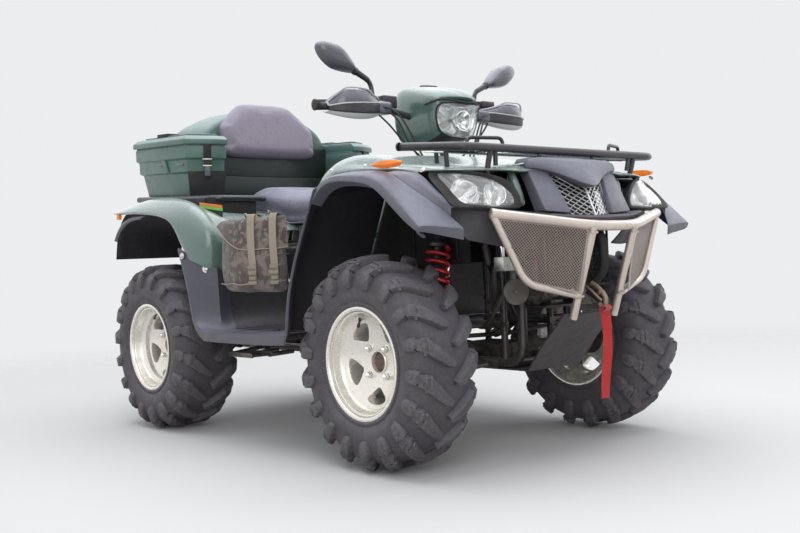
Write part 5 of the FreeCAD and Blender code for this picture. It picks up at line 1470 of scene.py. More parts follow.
def mirrors():
    """Teardrop mirror heads with their glass, on bent stalks."""
    head, glass, stalk = Form(), Form(), Form()
    centre = at(373, 298, 1267)
    long_way = (at(453, 300, 1306) - at(286, 300, 1224)).normalized()
    tall = Vector((0, 1, 0)).cross(long_way).normalized()
    rings, outline = [], []
    for k in range(24):
        angle = 2 * math.pi * k / 24
        reach = 84 if math.cos(angle) > 0 else 88
        squeeze = 40 * (1 - 0.5 * max(0.0, -math.cos(angle)))
        outline.append((math.cos(angle) * reach, math.sin(angle) * squeeze))
    for share, depth in ((0.90, 16), (1.0, 12), (1.0, 4), (0.97, -6), (0.86, -18), (0.62, -27), (0.3, -31),
                         (0.08, -32)):
        rings.append([centre + (long_way * u + tall * v) * share * MM + Vector((0, depth * MM, 0))
                      for u, v in outline])
    skin(head, rings)
    piece("mirror_heads", head.both(), "shell", "mirrors", "guard_shell", "steering", levels=1)
    pane = [centre + (long_way * u + tall * v) * 0.88 * MM + Vector((0, 16.6 * MM, 0)) for u, v in outline]
    prism(glass, pane, Vector((0, 0.0012, 0)))
    piece("mirror_glass", glass.both(), "mirror", body="steering")
    line = rounded([at(304, 298, 1232), at(238, 296, 1200), at(232, 292, 1130)], 24 * MM, 8)
    tube(stalk, line, [11] + [9.5] * 3 + [8] * (len(line) - 4), 14)
    lathe(stalk, [(-8, 10), (-6, 13), (8, 13), (10, 9)], at(300, 298, 1230), long_way, 20)
    lathe(stalk, [(-4, 12), (10, 12), (12, 9)], at(232, 292, 1136), (0, 0, 1), 20)
    piece("mirror_stalks", stalk.both(), "paint", "mirrors", "guard_shell", "steering", angle=60)


# Rear bodywork, footwells and centre body

# Rear fender from the middle outward: places from the front foot over the wheel to the back
TAIL = [
    [(0, 900, 742), (0, 930, 768), (0, 975, 792), (0, 1030, 810), (0, 1120, 830), (0, 1300, 850),
     (0, 1450, 852), (0, 1590, 850)],
    [(130, 888, 742), (130, 920, 768), (130, 964, 790), (130, 1020, 808), (130, 1115, 828), (130, 1295, 856),
     (130, 1450, 857), (130, 1595, 851)],
    [(250, 866, 740), (250, 900, 766), (250, 944, 788), (250, 1004, 806), (250, 1105, 824), (250, 1250, 852),
     (250, 1450, 862), (250, 1600, 852)],
    [(400, 838, 690), (400, 848, 738), (400, 884, 778), (400, 950, 803), (400, 1056, 824), (400, 1220, 856),
     (400, 1446, 874), (400, 1598, 852)],
    [(474, 840, 600), (476, 822, 712), (476, 836, 762), (476, 888, 792), (476, 990, 824), (476, 1190, 860),
     (476, 1440, 878), (476, 1596, 850)],
    [(500, 844, 598), (500, 832, 702), (502, 862, 748), (502, 925, 797), (502, 1004, 848), (502, 1225, 892),
     (502, 1440, 884), (502, 1594, 850)],
    [(524, 846, 600), (528, 836, 704), (532, 858, 768), (534, 918, 822), (536, 1000, 868), (538, 1250, 892),
     (538, 1440, 880), (536, 1592, 848)],
    [(552, 852, 604), (556, 844, 702), (562, 866, 778), (566, 926, 826), (568, 1010, 856), (570, 1240, 878),
     (570, 1435, 868), (566, 1588, 846)],
    [(580, 872, 622), (586, 880, 698), (590, 912, 750), (594, 966, 794), (597, 1046, 822), (600, 1206, 846),
     (600, 1398, 852), (592, 1555, 844)],
    [(594, 918, 640), (599, 962, 690), (602, 984, 726), (605, 1014, 770), (607, 1062, 801), (608, 1165, 823),
     (608, 1340, 837), (602, 1492, 841)],
    [(588, 927, 640), (593, 972, 687), (597, 994, 722), (599, 1023, 765), (601, 1068, 795), (602, 1168, 816),
     (602, 1340, 830), (597, 1488, 834)],
]
# Leg panel of the left side: places down the splash wall, along the floor and up
LEG = [
    [(196, 262, 900), (196, 385, 640), (196, 470, 470), (196, 500, 391), (196, 640, 388), (196, 780, 388),
     (196, 850, 410), (196, 890, 520), (196, 930, 780)],
    [(340, 268, 868), (340, 378, 662), (340, 462, 498), (340, 489, 391), (340, 640, 388), (340, 790, 388),
     (340, 852, 411), (340, 884, 520), (340, 918, 740)],
    [(476, 272, 840), (476, 372, 690), (476, 452, 530), (476, 478, 391), (476, 640, 388), (476, 796, 388),
     (476, 846, 412), (476, 858, 520), (476, 872, 612)],
    [(532, 222, 836), (532, 318, 678), (532, 390, 526), (532, 408, 391), (532, 640, 388), (532, 794, 388),
     (532, 826, 412), (532, 828, 516), (532, 834, 606)],
    [(576, 146, 834), (576, 236, 680), (576, 306, 528), (576, 322, 391), (576, 640, 388), (576, 812, 388),
     (576, 868, 416), (578, 874, 515), (578, 888, 638)],
    [(602, 122, 832), (602, 212, 676), (602, 285, 528), (602, 299, 391), (602, 640, 388), (602, 822, 388),
     (602, 896, 420), (603, 903, 514), (606, 974, 686)],
    [(602, 130, 822), (602, 221, 668), (602, 294, 522), (602, 314, 358), (602, 640, 354), (602, 826, 356),
     (602, 904, 398), (603, 913, 508), (606, 982, 680)],
]


def rear_fenders():
    """Rear fender over both wheels, with its dark lining."""
    panel("rear_fenders", TAIL, ["green", "inner"], "rear_fender", "green_plastic", hard_rows=(4, 5, 9),
          edge=1.4, crease=0.6, lining=1)


def front_arch_walls():
    """Dark walls with three ribs between the front wheels and the engine."""
    tops = ((-92, 862), (20, 880), (140, 900), (240, 890))
    rows = [[(190, y, z) for z in (590, 700, high)] for y, high in tops]
    rows.append([(190, 402, 590), (190, 352, 700), (190, 268, 882)])
    wall = sheet(Form(), rows_at(rows))
    for y in (-40, 60, 160):
        tube(wall, [at(193, y, 600), at(193, y, 850)], 4, 6, flat=0.7)
    piece("front_arch_walls", wall.both(), "inner", wall=COVER_WALL)


def footwells():
    """Leg panels with their floors, and the floor's and wall's ribs."""
    legs = sheet(Form(), rows_at(LEG), hard_rows=(2, 3, 5), hard_columns=(3, 5))
    columns = len(LEG[0]) - 1
    # The two inner strips keep the black plastic; the outer strips take the leg look, a lighter copy painted
    # as the light on the outward faces.
    legs.slots = [1 if n // columns < 2 else 0 for n in range(len(legs.faces))]
    piece("footwells", legs.both(), ["leg", "black"], "leg_panels", "black_plastic", wall=PANEL_WALL,
          levels=2, even=False, crease=0.7)
    ribs = Form()
    for x in range(262, 503, 40):
        tube(ribs, [at(x, 500, 396), at(x, 770, 396)], 4, 6, flat=0.7)
    for k in range(5):
        tube(ribs, [at(210, 900 + k * 6, 560 + k * 34), at(470, 896 + k * 6, 556 + k * 34)], 3.2, 6)
    for y in range(600, 839, 34):
        tube(ribs, [at(198, y, 410), at(198, y + 6, 640)], 3.0, 6)
    sheet(ribs, [[at(197, 500, 402), at(197, 850, 402)], [at(197, 395, 650), at(197, 910, 650)]])
    piece("footwell_ribs", ribs.both(), "black", angle=50)


def footpegs():
    """Trays with raised edges, three rows of teeth and two bars each."""
    pegs = Form()
    for side in (1, -1):
        middle = side * 400
        brick(pegs, (middle - 42, 776, 286), (middle + 42, 928, 292))
        brick(pegs, (middle - 44, 772, 284), (middle - 38, 932, 300))
        brick(pegs, (middle + 38, 772, 284), (middle + 44, 932, 300))
        for i in range(15):
            for x in (-41, 0, 41):
                y = 776 + i * 10.4
                tooth = [at(middle + x - 2, y + along, z) for along, z in ((0, 292), (7, 292), (3.5, 306))]
                prism(pegs, tooth, Vector((0.004, 0, 0)))
        for y in (800, 900):
            tube(pegs, [at(side * 356, y, 288), at(side * 250, y, 292)], 9, 10)
    piece("footpegs", pegs, "cast", edge=1)


def body_bolts():
    """Bolts of the leg panels, the rear fender and the flares."""
    bolts = Form()
    bolt(bolts, at(606, 950, 656), (1, -0.25, 0.1), 7.5, 4)
    bolt(bolts, at(558, 866, 606), (0.6, -0.8, 0.1), 9, 4)
    for x, y, z in ((560, -64, 878), (510, -252, 850), (560, 96, 880)):
        bolt(bolts, at(x, y, z), (0.7, -0.1, 0.6), 5.5, 3)
    piece("body_bolts", bolts.both(), "zinc", angle=50)


# Body between the knees: y, half width low, middle and top, z of the top
TANK = [(258, 150, 148, 96, 950), (320, 160, 158, 104, 944), (380, 166, 162, 108, 931),
        (440, 168, 164, 106, 905), (500, 168, 162, 98, 874), (545, 160, 152, 84, 842),
        (566, 150, 140, 70, 815)]


def tank():
    """Green body between the knees with a dark seam, and its ribbed cap."""
    rows = []
    for y, low, mid, high, top in TANK:
        rows.append([(low, y, 706), (low + 1, y, 760), (mid, y, 806),
                     ((mid + high) / 2 + 8, y, (806 + top) / 2 + 14), (high, y, top - 6),
                     (high * 0.5, y, top), (0, y, top + 2)])
    panel("tank_body", rows, "green", "tank_cover", "green_plastic", wall=COVER_WALL, hard_columns=(2,),
          crease=0.4)
    cap, way = Form(), (0, 0.25, 1)
    lathe(cap, [(-6, 36), (2, 37), (6, 35), (8, 30), (22, 28), (26, 25), (27, POINT)], at(0, 400, 924), way,
          36)
    for k in range(12):
        angle = 2 * math.pi * k / 12
        centre = at(29 * math.cos(angle), 404 + 29 * math.sin(angle), 938)
        lathe(cap, [(-8, 4), (8, 3.5), (9, POINT)], centre, way, 8)
    piece("fuel_cap", cap, "black", angle=50)


def under_seat():
    """Dark tray under the seat, and the side covers with a raised field."""
    side = [(500, 690), (500, 806), (566, 806), (592, 776), (650, 754), (900, 750), (960, 780), (960, 690)]
    tray = prism(Form(), [at(-114, y, z) for y, z in side], Vector((0.228, 0, 0)))
    piece("under_seat_tray", tray, "inner", edge=5)
    outline = [(500, 470), (850, 500), (885, 640), (880, 757), (700, 757), (600, 704), (420, 704),
               (400, 600)]
    field = [(640 + (y - 640) * 0.86, 610 + (z - 610) * 0.8) for y, z in outline]
    cover = Form()
    for x0, x1, shape in ((141, 148, outline), (148, 154, field)):
        prism(cover, [at(x0, y, z) for y, z in shape], Vector(((x1 - x0) * MM, 0, 0)))
    piece("side_covers_shaped", cover.both(), "green", "side_covers", "green_plastic", edge=5, segments=3)


# Seat: y, half width low, z low, half width middle, half width top, z top
SEAT = [
    (560, 96, 812, 104, 60, 846), (580, 118, 786, 122, 84, 868), (640, 138, 762, 140, 108, 882),
    (720, 150, 758, 154, 126, 882), (820, 162, 757, 166, 140, 877), (900, 174, 760, 178, 150, 880),
    (980, 182, 790, 185, 156, 892), (1060, 184, 810, 186, 160, 905), (1130, 184, 810, 186, 160, 912),
    (1180, 180, 814, 184, 154, 911), (1206, 166, 830, 172, 136, 900),
]


def seat():
    """Seat cushion, swollen like upholstery, with its piping."""
    rows = []
    for y, low, z_low, mid, high, z_high in SEAT:
        tall = z_high - z_low
        rows.append([(0, y, z_low), (low * 0.7, y, z_low), (low - 2, y, z_low + 2), (low + 5, y, z_low + 10),
                     (mid + 5, y, z_low + tall * 0.42), (mid - 1, y, z_low + tall * 0.68),
                     (mid - 16, y, z_low + tall * 0.87), (high - 14, y, z_high - 2),
                     (high * 0.55, y, z_high + 1), (0, y, z_high + 2)])
    form = sheet(Form(), rows_at(rows))
    for row in (rows[0], rows[-1]):
        sheet(form, rows_at([row, [(0, y, z) for x, y, z in row]]))
    cushion = piece("seat_cushion", form.both(), "vinyl", "seat", "seat_vinyl", levels=2)
    stuffed(cushion, 12, 8)
    line = [at(low + 6, y, z_low + 9) for y, low, z_low, mid, high, z_high in SEAT[1:-1]]
    piece("seat_piping", tube(Form(), flowing(line, 5), 2.4, 8).both(), "vinyl")


# Backrest pad: half outline as half width and height up the slope
PAD = [(0, 0), (120, 0), (208, 3), (221, 14), (236, 101), (237, 128), (205, 164), (150, 218), (122, 239),
       (60, 243), (0, 243)]
# Sections of the pad from its back to its front: share of the outline, depth
PAD_SECTIONS = ((0.1, 18), (0.5, 18), (0.86, 16), (0.95, 11), (1.0, 0), (1.0, -20), (0.97, -34), (0.9, -40),
                (0.1, -40))
PAD_FOOT = Vector((0, 1262, 1066))
PAD_LEAN = 0.27
PAD_MIDDLE = 112            # height up the slope that the sections shrink to


def pad():
    """Backrest cushion, leaning back on the box."""
    up = Vector((0, math.sin(PAD_LEAN), math.cos(PAD_LEAN)))
    out = Vector((0, -math.cos(PAD_LEAN), math.sin(PAD_LEAN)))

    def spot(x, height, depth):
        p = PAD_FOOT + up * height + out * depth
        return at(x, p.y, p.z)

    full = PAD + [(-x, h) for x, h in PAD[-2:0:-1]]
    rows = [[spot(x * share, PAD_MIDDLE + (h - PAD_MIDDLE) * share, depth - 8) for x, h in full]
            for share, depth in PAD_SECTIONS]
    cushion = piece("backrest_cushion", skin(Form(), rows), "pad", "backrest_pad", "pad_vinyl", levels=2)
    stuffed(cushion, 8, 7)


# Cargo box in its own level frame, tilted with the rack
RACK_FRONT, RACK_LOW, RACK_RUN, RACK_RISE = 1010.0, 868.0, 630.0, 38.0
TILT = math.atan2(RACK_RISE, RACK_RUN)
BOX_FRONT = 1130.0
BOX_LOW = RACK_LOW + RACK_RISE * (BOX_FRONT - RACK_FRONT) / RACK_RUN + 12.5
BOX_DEPTH = 492
BIN_INNER, BIN_CHAMFER, BIN_OUTER = 307, 352, 452


def in_box(x, y, z):
    """A place given across, back from the box's front and up from its floor."""
    back, up = math.cos(TILT), math.sin(TILT)
    return at(x, BOX_FRONT + y * back - z * up, BOX_LOW + y * up + z * back)


def bin_ring(z, inset, front, chamfer, back=0.0, inner=0.0):
    """Plan of the left bin at a height: inner front, chamfer, outer side and back corners."""
    side, rear = BIN_OUTER - inset, BOX_DEPTH - inset + back
    plan = [(BIN_INNER + inner, front + inset), (BIN_CHAMFER - inset * 0.4, front + inset),
            (side, front + chamfer + inset * 0.4), (side, 240), (side, 252), (side, rear),
            (BIN_INNER + inner, rear)]
    return [in_box(x, y, z) for x, y in plan]


# Sections of the left bin, outside from the floor up and inside down again: arguments of bin_ring
BIN = [(0, 32, 12, 58, -20), (86, 21, 9, 58, -6), (92, 12, 6, 60), (138, 10, 5, 60), (145, 1, 0, 62),
       (190, 0, 0, 62), (192, 3, 2, 62), (197, 3, 2, 62), (197, 14, 2, 62, 0, 9), (186, 15, 2, 62, 0, 10),
       (12, 42, 16, 58, -24, 14)]
LID = [(197, -7, -1, 64), (200, -8, -1, 64), (216, -8, -1, 64), (219, -5, 1, 62), (230, 6, 8, 60),
       (232, 14, 14, 58)]
# Middle of the box: y, z of the shoulder, z of the top
BOX_MIDDLE = [(198, 224, 342), (206, 230, 352), (330, 232, 354), (420, 232, 352), (474, 230, 344),
              (490, 222, 330)]
# Strap over a bin's corner: shares along the corner's face, z from and to, depth, look
STRAP_PARTS = [(0.12, 0.40, 143, 214, 5, 0), (0.08, 0.44, 137, 142, 9, 1), (0.14, 0.38, 117, 137, 7, 0),
               (0.09, 0.43, 112, 117, 9, 1), (0.15, 0.36, 74, 112, 8, 2)]
CORNER_FACE = Vector((358, 3, 0)), Vector((448, 58, 0))


def box_prism(form, corners, rise, slot=0):
    """A block on the box from corners in its own frame, pushed up along the box."""
    return prism(form, [in_box(*p) for p in corners], in_box(0, 0, rise) - in_box(0, 0, 0), slot)


def box_bins():
    """Open bins with a lip, ribs on the outer side and a rolled edge."""
    bins = skin(Form(), [bin_ring(*section) for section in BIN])
    prism(bins, [in_box(*p) for p in ((441, 216, 92), (441, 236, 92), (443, 262, 142), (443, 240, 142))],
          Vector((0.008, 0, 0)))
    for y0, y1, z in ((96, 150, 116), (262, 300, 120)):
        prism(bins, [in_box(440, y0, z), in_box(440, y1, z), in_box(440, y1, z + 10),
                     in_box(440, y0, z + 8)],
              Vector((0.006, 0, 0)))
    piece("box_bins", bins.both(), "box_green", "cargo_box", "box_green", edge=4, segments=3, angle=50)


def box_centre():
    """Domed middle of the box, with a stepped recess in front, coloured near black as painted shade."""
    lines = []
    for y, shoulder, top in BOX_MIDDLE:
        fall = top - shoulder
        half = ((0, top), (100, top), (142, top - 3), (210, top - fall * 0.28), (262, top - fall * 0.52),
                (288, top - fall * 0.75), (302, shoulder), (304, 120), (304, 0))
        lines.append([in_box(x, y, z) for x, z in half])
    centre = sheet(Form(), lines, hard_columns=(6,))
    for line, y in ((lines[0], 198), (lines[-1], BOX_DEPTH)):
        sheet(centre, [line, [in_box(0, y, 120)] * len(line)])
    piece("box_centre", centre.both(), "box_green", "cargo_box", "box_green", levels=2, crease=0.6)
    step = Form()
    for z0, z1, y in ((0, 84, 176), (84, 214, 194)):
        prism(step, [in_box(x, y, z) for x, z in ((-305, z0), (305, z0), (305, z1), (-305, z1))],
              in_box(0, 200, 0) - in_box(0, y, 0))
    # The recess is coloured near black as painted shade.
    piece("box_recess", step, "dark_green", "cargo_box", "box_green", edge=6, segments=3)


def box_straps():
    """Rubber straps with wire loops over the bins' corners, and the dark plates under the bins."""
    straps = Form()
    a, b = CORNER_FACE
    away = Vector((b.y - a.y, -(b.x - a.x), 0)).normalized()
    low = [(300, 34, 0), (342, 36, 0), (424, 78, 0), (420, 92, 0), (338, 50, 0), (300, 48, 0)]
    high = [(300, 14, 96), (346, 16, 96), (440, 62, 92), (436, 78, 92), (342, 32, 96), (300, 30, 96)]
    for side in (1, -1):
        for t0, t1, z0, z1, depth, slot in STRAP_PARTS:
            p, q = a.lerp(b, t0), a.lerp(b, t1)
            outline = [in_box(side * v.x, v.y, z) for v, z in ((p, z0), (q, z0), (q, z1), (p, z1))]
            moved = in_box(side * (p.x + away.x * depth), p.y + away.y * depth, z0)
            prism(straps, outline, moved - outline[0], slot)
        skin(straps, [[in_box(side * x, y, z) for x, y, z in ring] for ring in (low, high)])
    piece("box_straps", straps, ["inner", "zinc", "grey"], edge=2)


def box_lids():
    """Lids with a raised field and a dark latch."""
    lid = skin(Form(), [bin_ring(*section) for section in LID])
    box_prism(lid, ((326, 40, 231), (350, 36, 231), (426, 84, 231), (426, 452, 231), (326, 456, 231)), 9)
    box_prism(lid, ((376, 250, 238), (430, 250, 238), (430, 340, 238), (376, 340, 238)), 12, 1)
    for side, sign in SIDES:
        body = "box_lid_" + side
        piece(body + "_shape", lid if sign > 0 else lid.mirrored(), ["box_green", "inner"], body,
              "box_green", body,
              edge=4, segments=3, angle=50)


# Plan of the bag, drawn on the left and set on the right: from its rear inner corner round the outside
BAG = [(474, 770), (500, 777), (535, 776), (556, 762), (572, 700), (584, 645), (584, 600), (574, 575),
       (556, 545), (534, 512), (512, 484), (498, 468), (482, 461), (470, 474), (467, 530), (470, 650)]
# Sections of the bag: z, share of its plan
BAG_SECTIONS = ((522, 0.70), (528, 0.88), (550, 0.99), (600, 1.05), (655, 1.03), (705, 0.99), (740, 0.93),
                (757, 0.80), (762, 0.60))
# The flap's drop at each point of its edge
FLAP_DROPS = (8, 34, 62, 84, 90, 92, 90, 91, 89, 86)
# Handles on the bag's top, with their radius
BAG_HANDLES = (
    ([(-520, 640, 764), (-532, 628, 781), (-545, 608, 785), (-553, 588, 781), (-556, 572, 768)], 4),
    ([(-486, 520, 766), (-494, 530, 784), (-506, 528, 790), (-514, 512, 782)], 3),
)
# Buckle parts: z from and to, half width, outer and inner depth
BUCKLE = ((600, 613, 15, 20, 12), (581, 594, 15, 20, 12), (594, 600, 15, 17, 12), (563, 576, 12, 18, 12),
          (548, 560, 15, 19, 12))


def bag():
    """Canvas bag: a soft body with its buckled face to the front, and a flap with a bound edge."""
    rows = []
    for z, grow in BAG_SECTIONS:
        ring = []
        for x, y in BAG:
            slack = 2.5 * math.sin(y * 0.11 + z * 0.06) * (1 if x > 490 else 0)
            sag = 5 * math.sin(y * 0.05) if z < 560 else 0
            ring.append((-(474 + (x - 474) * grow + slack), 625 + (y - 625) * (1 - (1 - grow) * 0.5),
                         z + sag))
        rows.append(ring)
    sack = piece("bag_body", skin(Form(), rows_at(rows)), "camo", "side_bag", "bag_canvas", levels=1,
                 angle=60)
    stuffed(sack, 9, 6, 3.0)
    rows = flap_rows()
    flap = piece("bag_flap", sheet(Form(), rows_at(rows)), "camo", "side_bag", "bag_canvas", wall=2.5,
                 levels=2, angle=60)
    webbing, clips = bag_webbing(rows)


def flap_rows():
    """Rows of the flap: from the bag's inner side over its top and down its outer side."""
    edge = BAG[3:13]
    outer, inner = [], []
    for k, (x, y) in enumerate(edge):
        before, after = edge[max(0, k - 1)], edge[min(len(edge) - 1, k + 1)]
        along = Vector((after[0] - before[0], after[1] - before[1])).normalized()
        outer.append((x - along.y * 9, y + along.x * 9))
        inner.append((480, 766 - 286 * k / (len(edge) - 1)))
    rows = [[(-(a + (b - a) * share), c + (d - c) * share, z + 3 * math.sin(k * 1.7))
             for k, ((a, c), (b, d)) in enumerate(zip(inner, outer))]
            for share, z in ((0.0, 764), (0.45, 772), (0.85, 768), (1.0, 755))]
    return rows + [[(-x - 3 * share * math.sin(k * 1.3), y, 755 - share * FLAP_DROPS[k])
                    for k, (x, y) in enumerate(outer)]
                   for share in (0.35, 0.7, 1.0)]


def bag_webbing(flap):
    """Bound edges, the two webbing straps with their buckles, and the handles on top."""
    trim = Form()
    tube(trim, flowing([at(x - 1, y, z) for x, y, z in flap[-1]], 4), 2.6, 8, flat=0.7)
    tube(trim, flowing([at(*row[0]) for row in flap[3:]], 4), 2.2, 8)
    tube(trim, flowing([at(-x - 1, y, 552 + 3 * math.sin(y * 0.05)) for x, y in BAG[3:9]], 4), 2.2, 8)
    out, along = Vector((-0.811, -0.585)), Vector((0.585, -0.811))
    side = Vector((along.x * MM, along.y * MM, 0))
    buckles = Form()
    for place, reach in ((Vector((-556, 551)), 66), (Vector((-513, 486)), 36)):
        path = []
        for away, z in ((-reach, 776), (-20, 781), (4, 778), (15, 757), (19, 715), (19, 668), (14, 625),
                        (12, 590), (12, 552)):
            spot = place + out * away
            path.append(at(spot.x, spot.y, z))
        sheet(trim, [[p + side * s for s in (-12.5, -4, 4, 12.5)] for p in flowing(path, 5)])
        for z0, z1, wide, deep, low in BUCKLE:
            spot = place + out * low
            corners = [at(spot.x + along.x * s, spot.y + along.y * s, z)
                       for s, z in ((-wide, z0), (wide, z0), (wide, z1), (-wide, z1))]
            prism(buckles, corners, Vector((out.x, out.y, 0)) * (deep - low) * MM)
    loop = ((-548, 548, 779), (-546, 530, 758), (-538, 514, 733))
    sheet(trim, [[at(x - s * 0.5, y + s, z) for x, y, z in loop] for s in (-7, 0, 7)])
    for run, radius in BAG_HANDLES:
        tube(trim, flowing([at(*p) for p in run], 6), radius, 8, flat=0.5)
    return (piece("bag_webbing", trim, "webbing", wall=2.0, angle=60),
            piece("bag_buckles", buckles, "buckle", edge=1.6))


# Bumper shelf: the line of its front edge from the middle outward
SHELF = [(0, -438, 715), (75, -432, 717), (150, -424, 720), (240, -392, 728), (330, -350, 740),
         (400, -306, 750), (448, -266, 757), (456, -250, 757)]
BUMPER_CHEEK = [
    [(455, -250, 754), (440, -262, 715), (420, -285, 680), (402, -306, 657)],
    [(420, -290, 748), (410, -300, 712), (392, -310, 680), (372, -314, 650)],
    [(350, -336, 740), (346, -336, 700), (335, -330, 668), (322, -318, 640)],
    [(258, -382, 730), (256, -372, 695), (250, -350, 660), (246, -322, 628)],
    [(180, -410, 722), (180, -396, 690), (176, -370, 660), (172, -340, 634)],
]
HOSES = [
    [(-230, -250, 680), (-236, -255, 620), (-240, -240, 560), (-200, -200, 500), (-150, -120, 470)],
    [(-270, -240, 700), (-276, -246, 640), (-262, -240, 590), (-268, -232, 640)],
    [(-190, -270, 560), (-204, -240, 500), (-190, -180, 440), (-140, -100, 400)],
    [(180, -250, 680), (196, -240, 600), (170, -200, 520), (120, -130, 470)],
]


def bumper():
    """Shelf under the lamps with its turned-down lip, and the cheeks below it."""
    rows = [[(x, y + 80, z + 6), (x, y + 20, z + 2), (x, y + 6, z), (x, y, z - 6), (x, y + 2, z - 26),
             (x * 0.98, y + 12, z - 44), (x * 0.97, y + 24, z - 46)] for x, y, z in SHELF]
    panel("bumper", rows, "black", "bumper_shelf", "black_plastic", hard_columns=(3,), hard_rows=(6,),
          edge=1.2, crease=0.5)
    panel("bumper_cheeks", BUMPER_CHEEK, "black", "bumper_shelf", "black_plastic", edge=1)


def front_machinery():
    """Horn, oil cooler, hoses and radiator behind the bull bar."""
    horn = lathe(Form(), [(-22, POINT), (-22, 20), (-10, 24), (-8, 36), (0, 38), (3, 36), (3.5, 8), (5, 7),
                          (5, POINT)],
                 at(-216, -300, 505), (-0.5, -0.85, 0.05), 40)
    brick(horn, (-222, -296, 540), (-208, -284, 600))
    piece("horn", horn, "dark_metal", angle=45)
    cooler = brick(Form(), (-262, -300, 566), (-206, -262, 606))
    brick(cooler, (-262, -296, 606), (-250, -286, 676), 1)
    for x in range(-246, -189, 8):
        brick(cooler, (x, -290, 608), (x + 4, -262, 690), 2)
    piece("oil_cooler", cooler, ["zinc", "chrome", "inner"], edge=1.5)
    hoses = Form()
    for run in HOSES:
        tube(hoses, flowing([at(*p) for p in run], 7), 7, 10)
    piece("front_hoses", hoses, "boot", angle=60)
    core = brick(Form(), (-128, -330, 516), (128, -306, 690))
    for x in range(-122, 124, 7):
        brick(core, (x, -332, 522), (x + 1.5, -329, 684), 1)
    piece("radiator", core, ["inner", "dark_metal"])


def winch():
    """Bracket loops, the hook in its fork, and the drum with its rope."""
    loops = Form()
    for side in (1, -1):
        run = ((60, -340, 690), (62, -392, 660), (60, -402, 560), (56, -340, 500))
        tube(loops, rounded([at(side * x, y, z) for x, y, z in run], 30 * MM, 8), 14, 14)
    cross = [at(-74, -392, 470), at(-70, -404, 452), at(70, -404, 452), at(74, -392, 470)]
    tube(loops, rounded(cross, 12 * MM, 6), 9, 12)
    piece("winch_loops", loops, "inner", angle=60)
    hook = Form()
    bent = [(-398, 520), (-420, 508), (-448, 480), (-446, 452), (-430, 446), (-424, 462)]
    tube(hook, rounded([at(0, y, z) for y, z in bent], 12 * MM, 8), 7, 14)
    for side in (1, -1):
        fork = ((14, -380, 516), (20, -410, 500), (16, -434, 478), (10, -440, 470))
        tube(hook, flowing([at(side * x, y, z) for x, y, z in fork], 6), 4, 10)
    lathe(hook, [(-14, 6), (14, 6)], at(0, -430, 492), (1, 0, 0), 16)
    piece("winch_hook_shape", hook, "rust", "winch_hook", "hook_steel", angle=60)
    reel = [(-92, POINT), (-92, 36), (-58, 40), (-56, 24), (56, 24), (58, 40), (92, 38), (96, 30),
            (96, POINT)]
    drum = lathe(Form(), reel, at(0, -262, 498), (1, 0, 0), 32)
    for k in range(16):
        lathe(drum, [(-3, 25), (0, 28), (3, 25)], at(-50 + k * 6.6, -262, 498), (1, 0, 0), 24, 1)
    piece("winch_drum", drum, ["dark_metal", "zinc"], "winch", "cast_metal", angle=45)


STRAP_WIDTH = 28
STRAP_TOP, STRAP_DROP, STRAP_STEPS = 452, 266, 33


def strap():
    """Red pull strap, stitched round the hook and hanging free, a little twisted."""
    across = [share * STRAP_WIDTH / 4 for share in (-2, -1, 0, 1, 2)]
    rows = []
    for k in range(STRAP_STEPS + 1):
        t = k / STRAP_STEPS
        turn = -0.42 - 0.22 * math.sin(t * 4.2) * t
        x, y, z = 2 + 5 * math.sin(t * 3.4), -438 - 6 * math.sin(t * 5.0), STRAP_TOP - STRAP_DROP * t
        rows.append([at(x + s * math.cos(turn), y + s * math.sin(turn), z) for s in across])
    band = piece("pull_strap", sheet(Form(), rows), "strap", "hook_strap", "strap_red", wall=1.8, levels=1,
                 angle=60)
    round_hook = ((-436, 452), (-450, 456), (-458, 448), (-450, 440), (-441, 436))
    path = flowing([at(0, y, z) for y, z in round_hook], 5)
    eye = sheet(Form(), [[p + Vector((s * MM, 0, 0)) for s in (-14, 0, 14)] for p in path])
    sheet(eye, [[p + Vector((0, -0.0026, 0)) for p in row] for row in rows[:9]])
    loop = piece("pull_strap_eye", eye, "strap", "hook_strap", "strap_red", wall=1.8, angle=60)


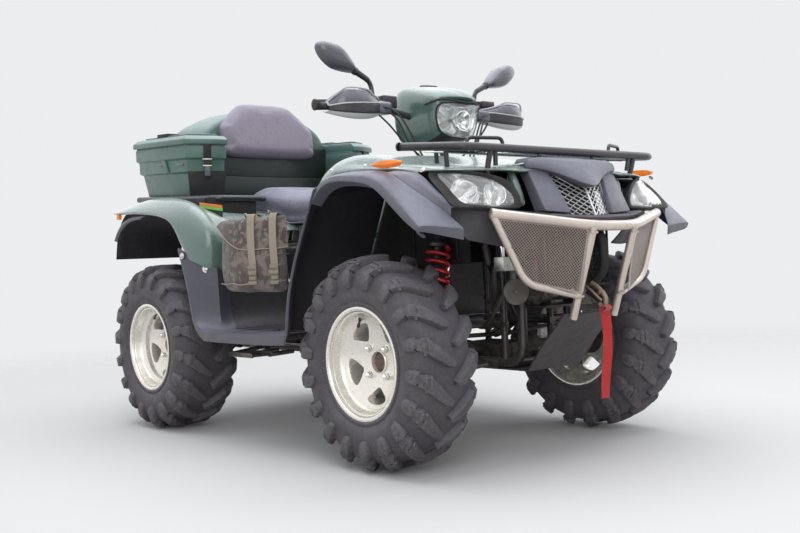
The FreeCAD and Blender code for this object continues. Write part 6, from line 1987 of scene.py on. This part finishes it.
def markers():
    """Amber side markers on the front fenders and small ones on the rear."""
    rows = []
    for t, wide in ((-57, 2), (-50, 9), (-30, 12), (0, 13), (24, 12), (44, 8), (57, 2)):
        y, z = t - 163, 874 + t * 0.03
        rows.append([(553, y, z - wide * 0.9), (566, y, z - wide * 0.9), (573, y, z - wide * 0.2),
                     (568, y, z + wide * 0.7), (552, y, z + wide * 0.8)])
    form = skin(Form(), rows_at(rows))
    brick(form, (590, 1470, 815), (602, 1492, 840))
    piece("marker_lenses", form.both(), "amber", "marker_lights", "amber_lens", edge=2, segments=3)


def rear_fittings():
    """Striped reflector strip, the tray's edge under the rack and the rims of the rear arches."""
    strip = Form()
    for slot, heights in ((0, (855, 834, 824, 845)), (1, (845, 824, 813, 834)), (2, (834, 813, 786, 822))):
        corners = [at(-464, y, z) for y, z in zip((1056, 898, 898, 1056), heights)]
        prism(strip, corners, Vector((-(6 - slot) * MM, 0, 0)), slot)
    piece("side_reflector_strip", strip.both(), ["amber", "lime", "inner"], edge=1)
    tray = prism(Form(), [at(x, 1013, z) for x, z in ((250, 806), (462, 806), (462, 868), (250, 868))],
                 Vector((0, 0.004, 0)))
    prism(tray, [at(462, y, z) for y, z in ((1013, 836), (1180, 850), (1180, 878), (1013, 868))],
          Vector((-0.004, 0, 0)))
    piece("rack_tray", tray.both(), "inner", edge=1)
    outer = [(1250, 820), (1357, 824), (1443, 811), (1505, 780), (1543, 737)]
    inner = [(1290, 806), (1357, 806), (1428, 793), (1482, 764), (1514, 728)]
    middle = [((a + c) / 2, (b + d) / 2) for (a, b), (c, d) in zip(outer, inner)]
    rim = [[(x, y, z) for y, z in line] for x, line in ((592, outer), (601, middle), (594, inner))]
    # The rims take the leg look, a lighter copy of the black plastic painted as the light on them.
    panel("rear_arch_rims", rim, "leg", wall=COVER_WALL, edge=0.8, even=False)


def main():
    """Makes the pieces in order."""
    for make in (stage, finish_nodes, wheels, bodywork, headlamps, nose, v_grille, radiator_grille, bull_bar,
                 bull_bar_panels, racks, springs, pod_cowl, pod_lamp, hand_guards, bar_controls,
                 control_cables, mirrors, rear_fenders, front_arch_walls, footwells, footpegs, body_bolts,
                 tank, under_seat, seat, pad, box_bins, box_centre, box_straps, box_lids, bag, bumper,
                 front_machinery, winch, strap, markers, rear_fittings):
        make()


def corners(low_high):
    return [list(corner) for corner in low_high]


main()
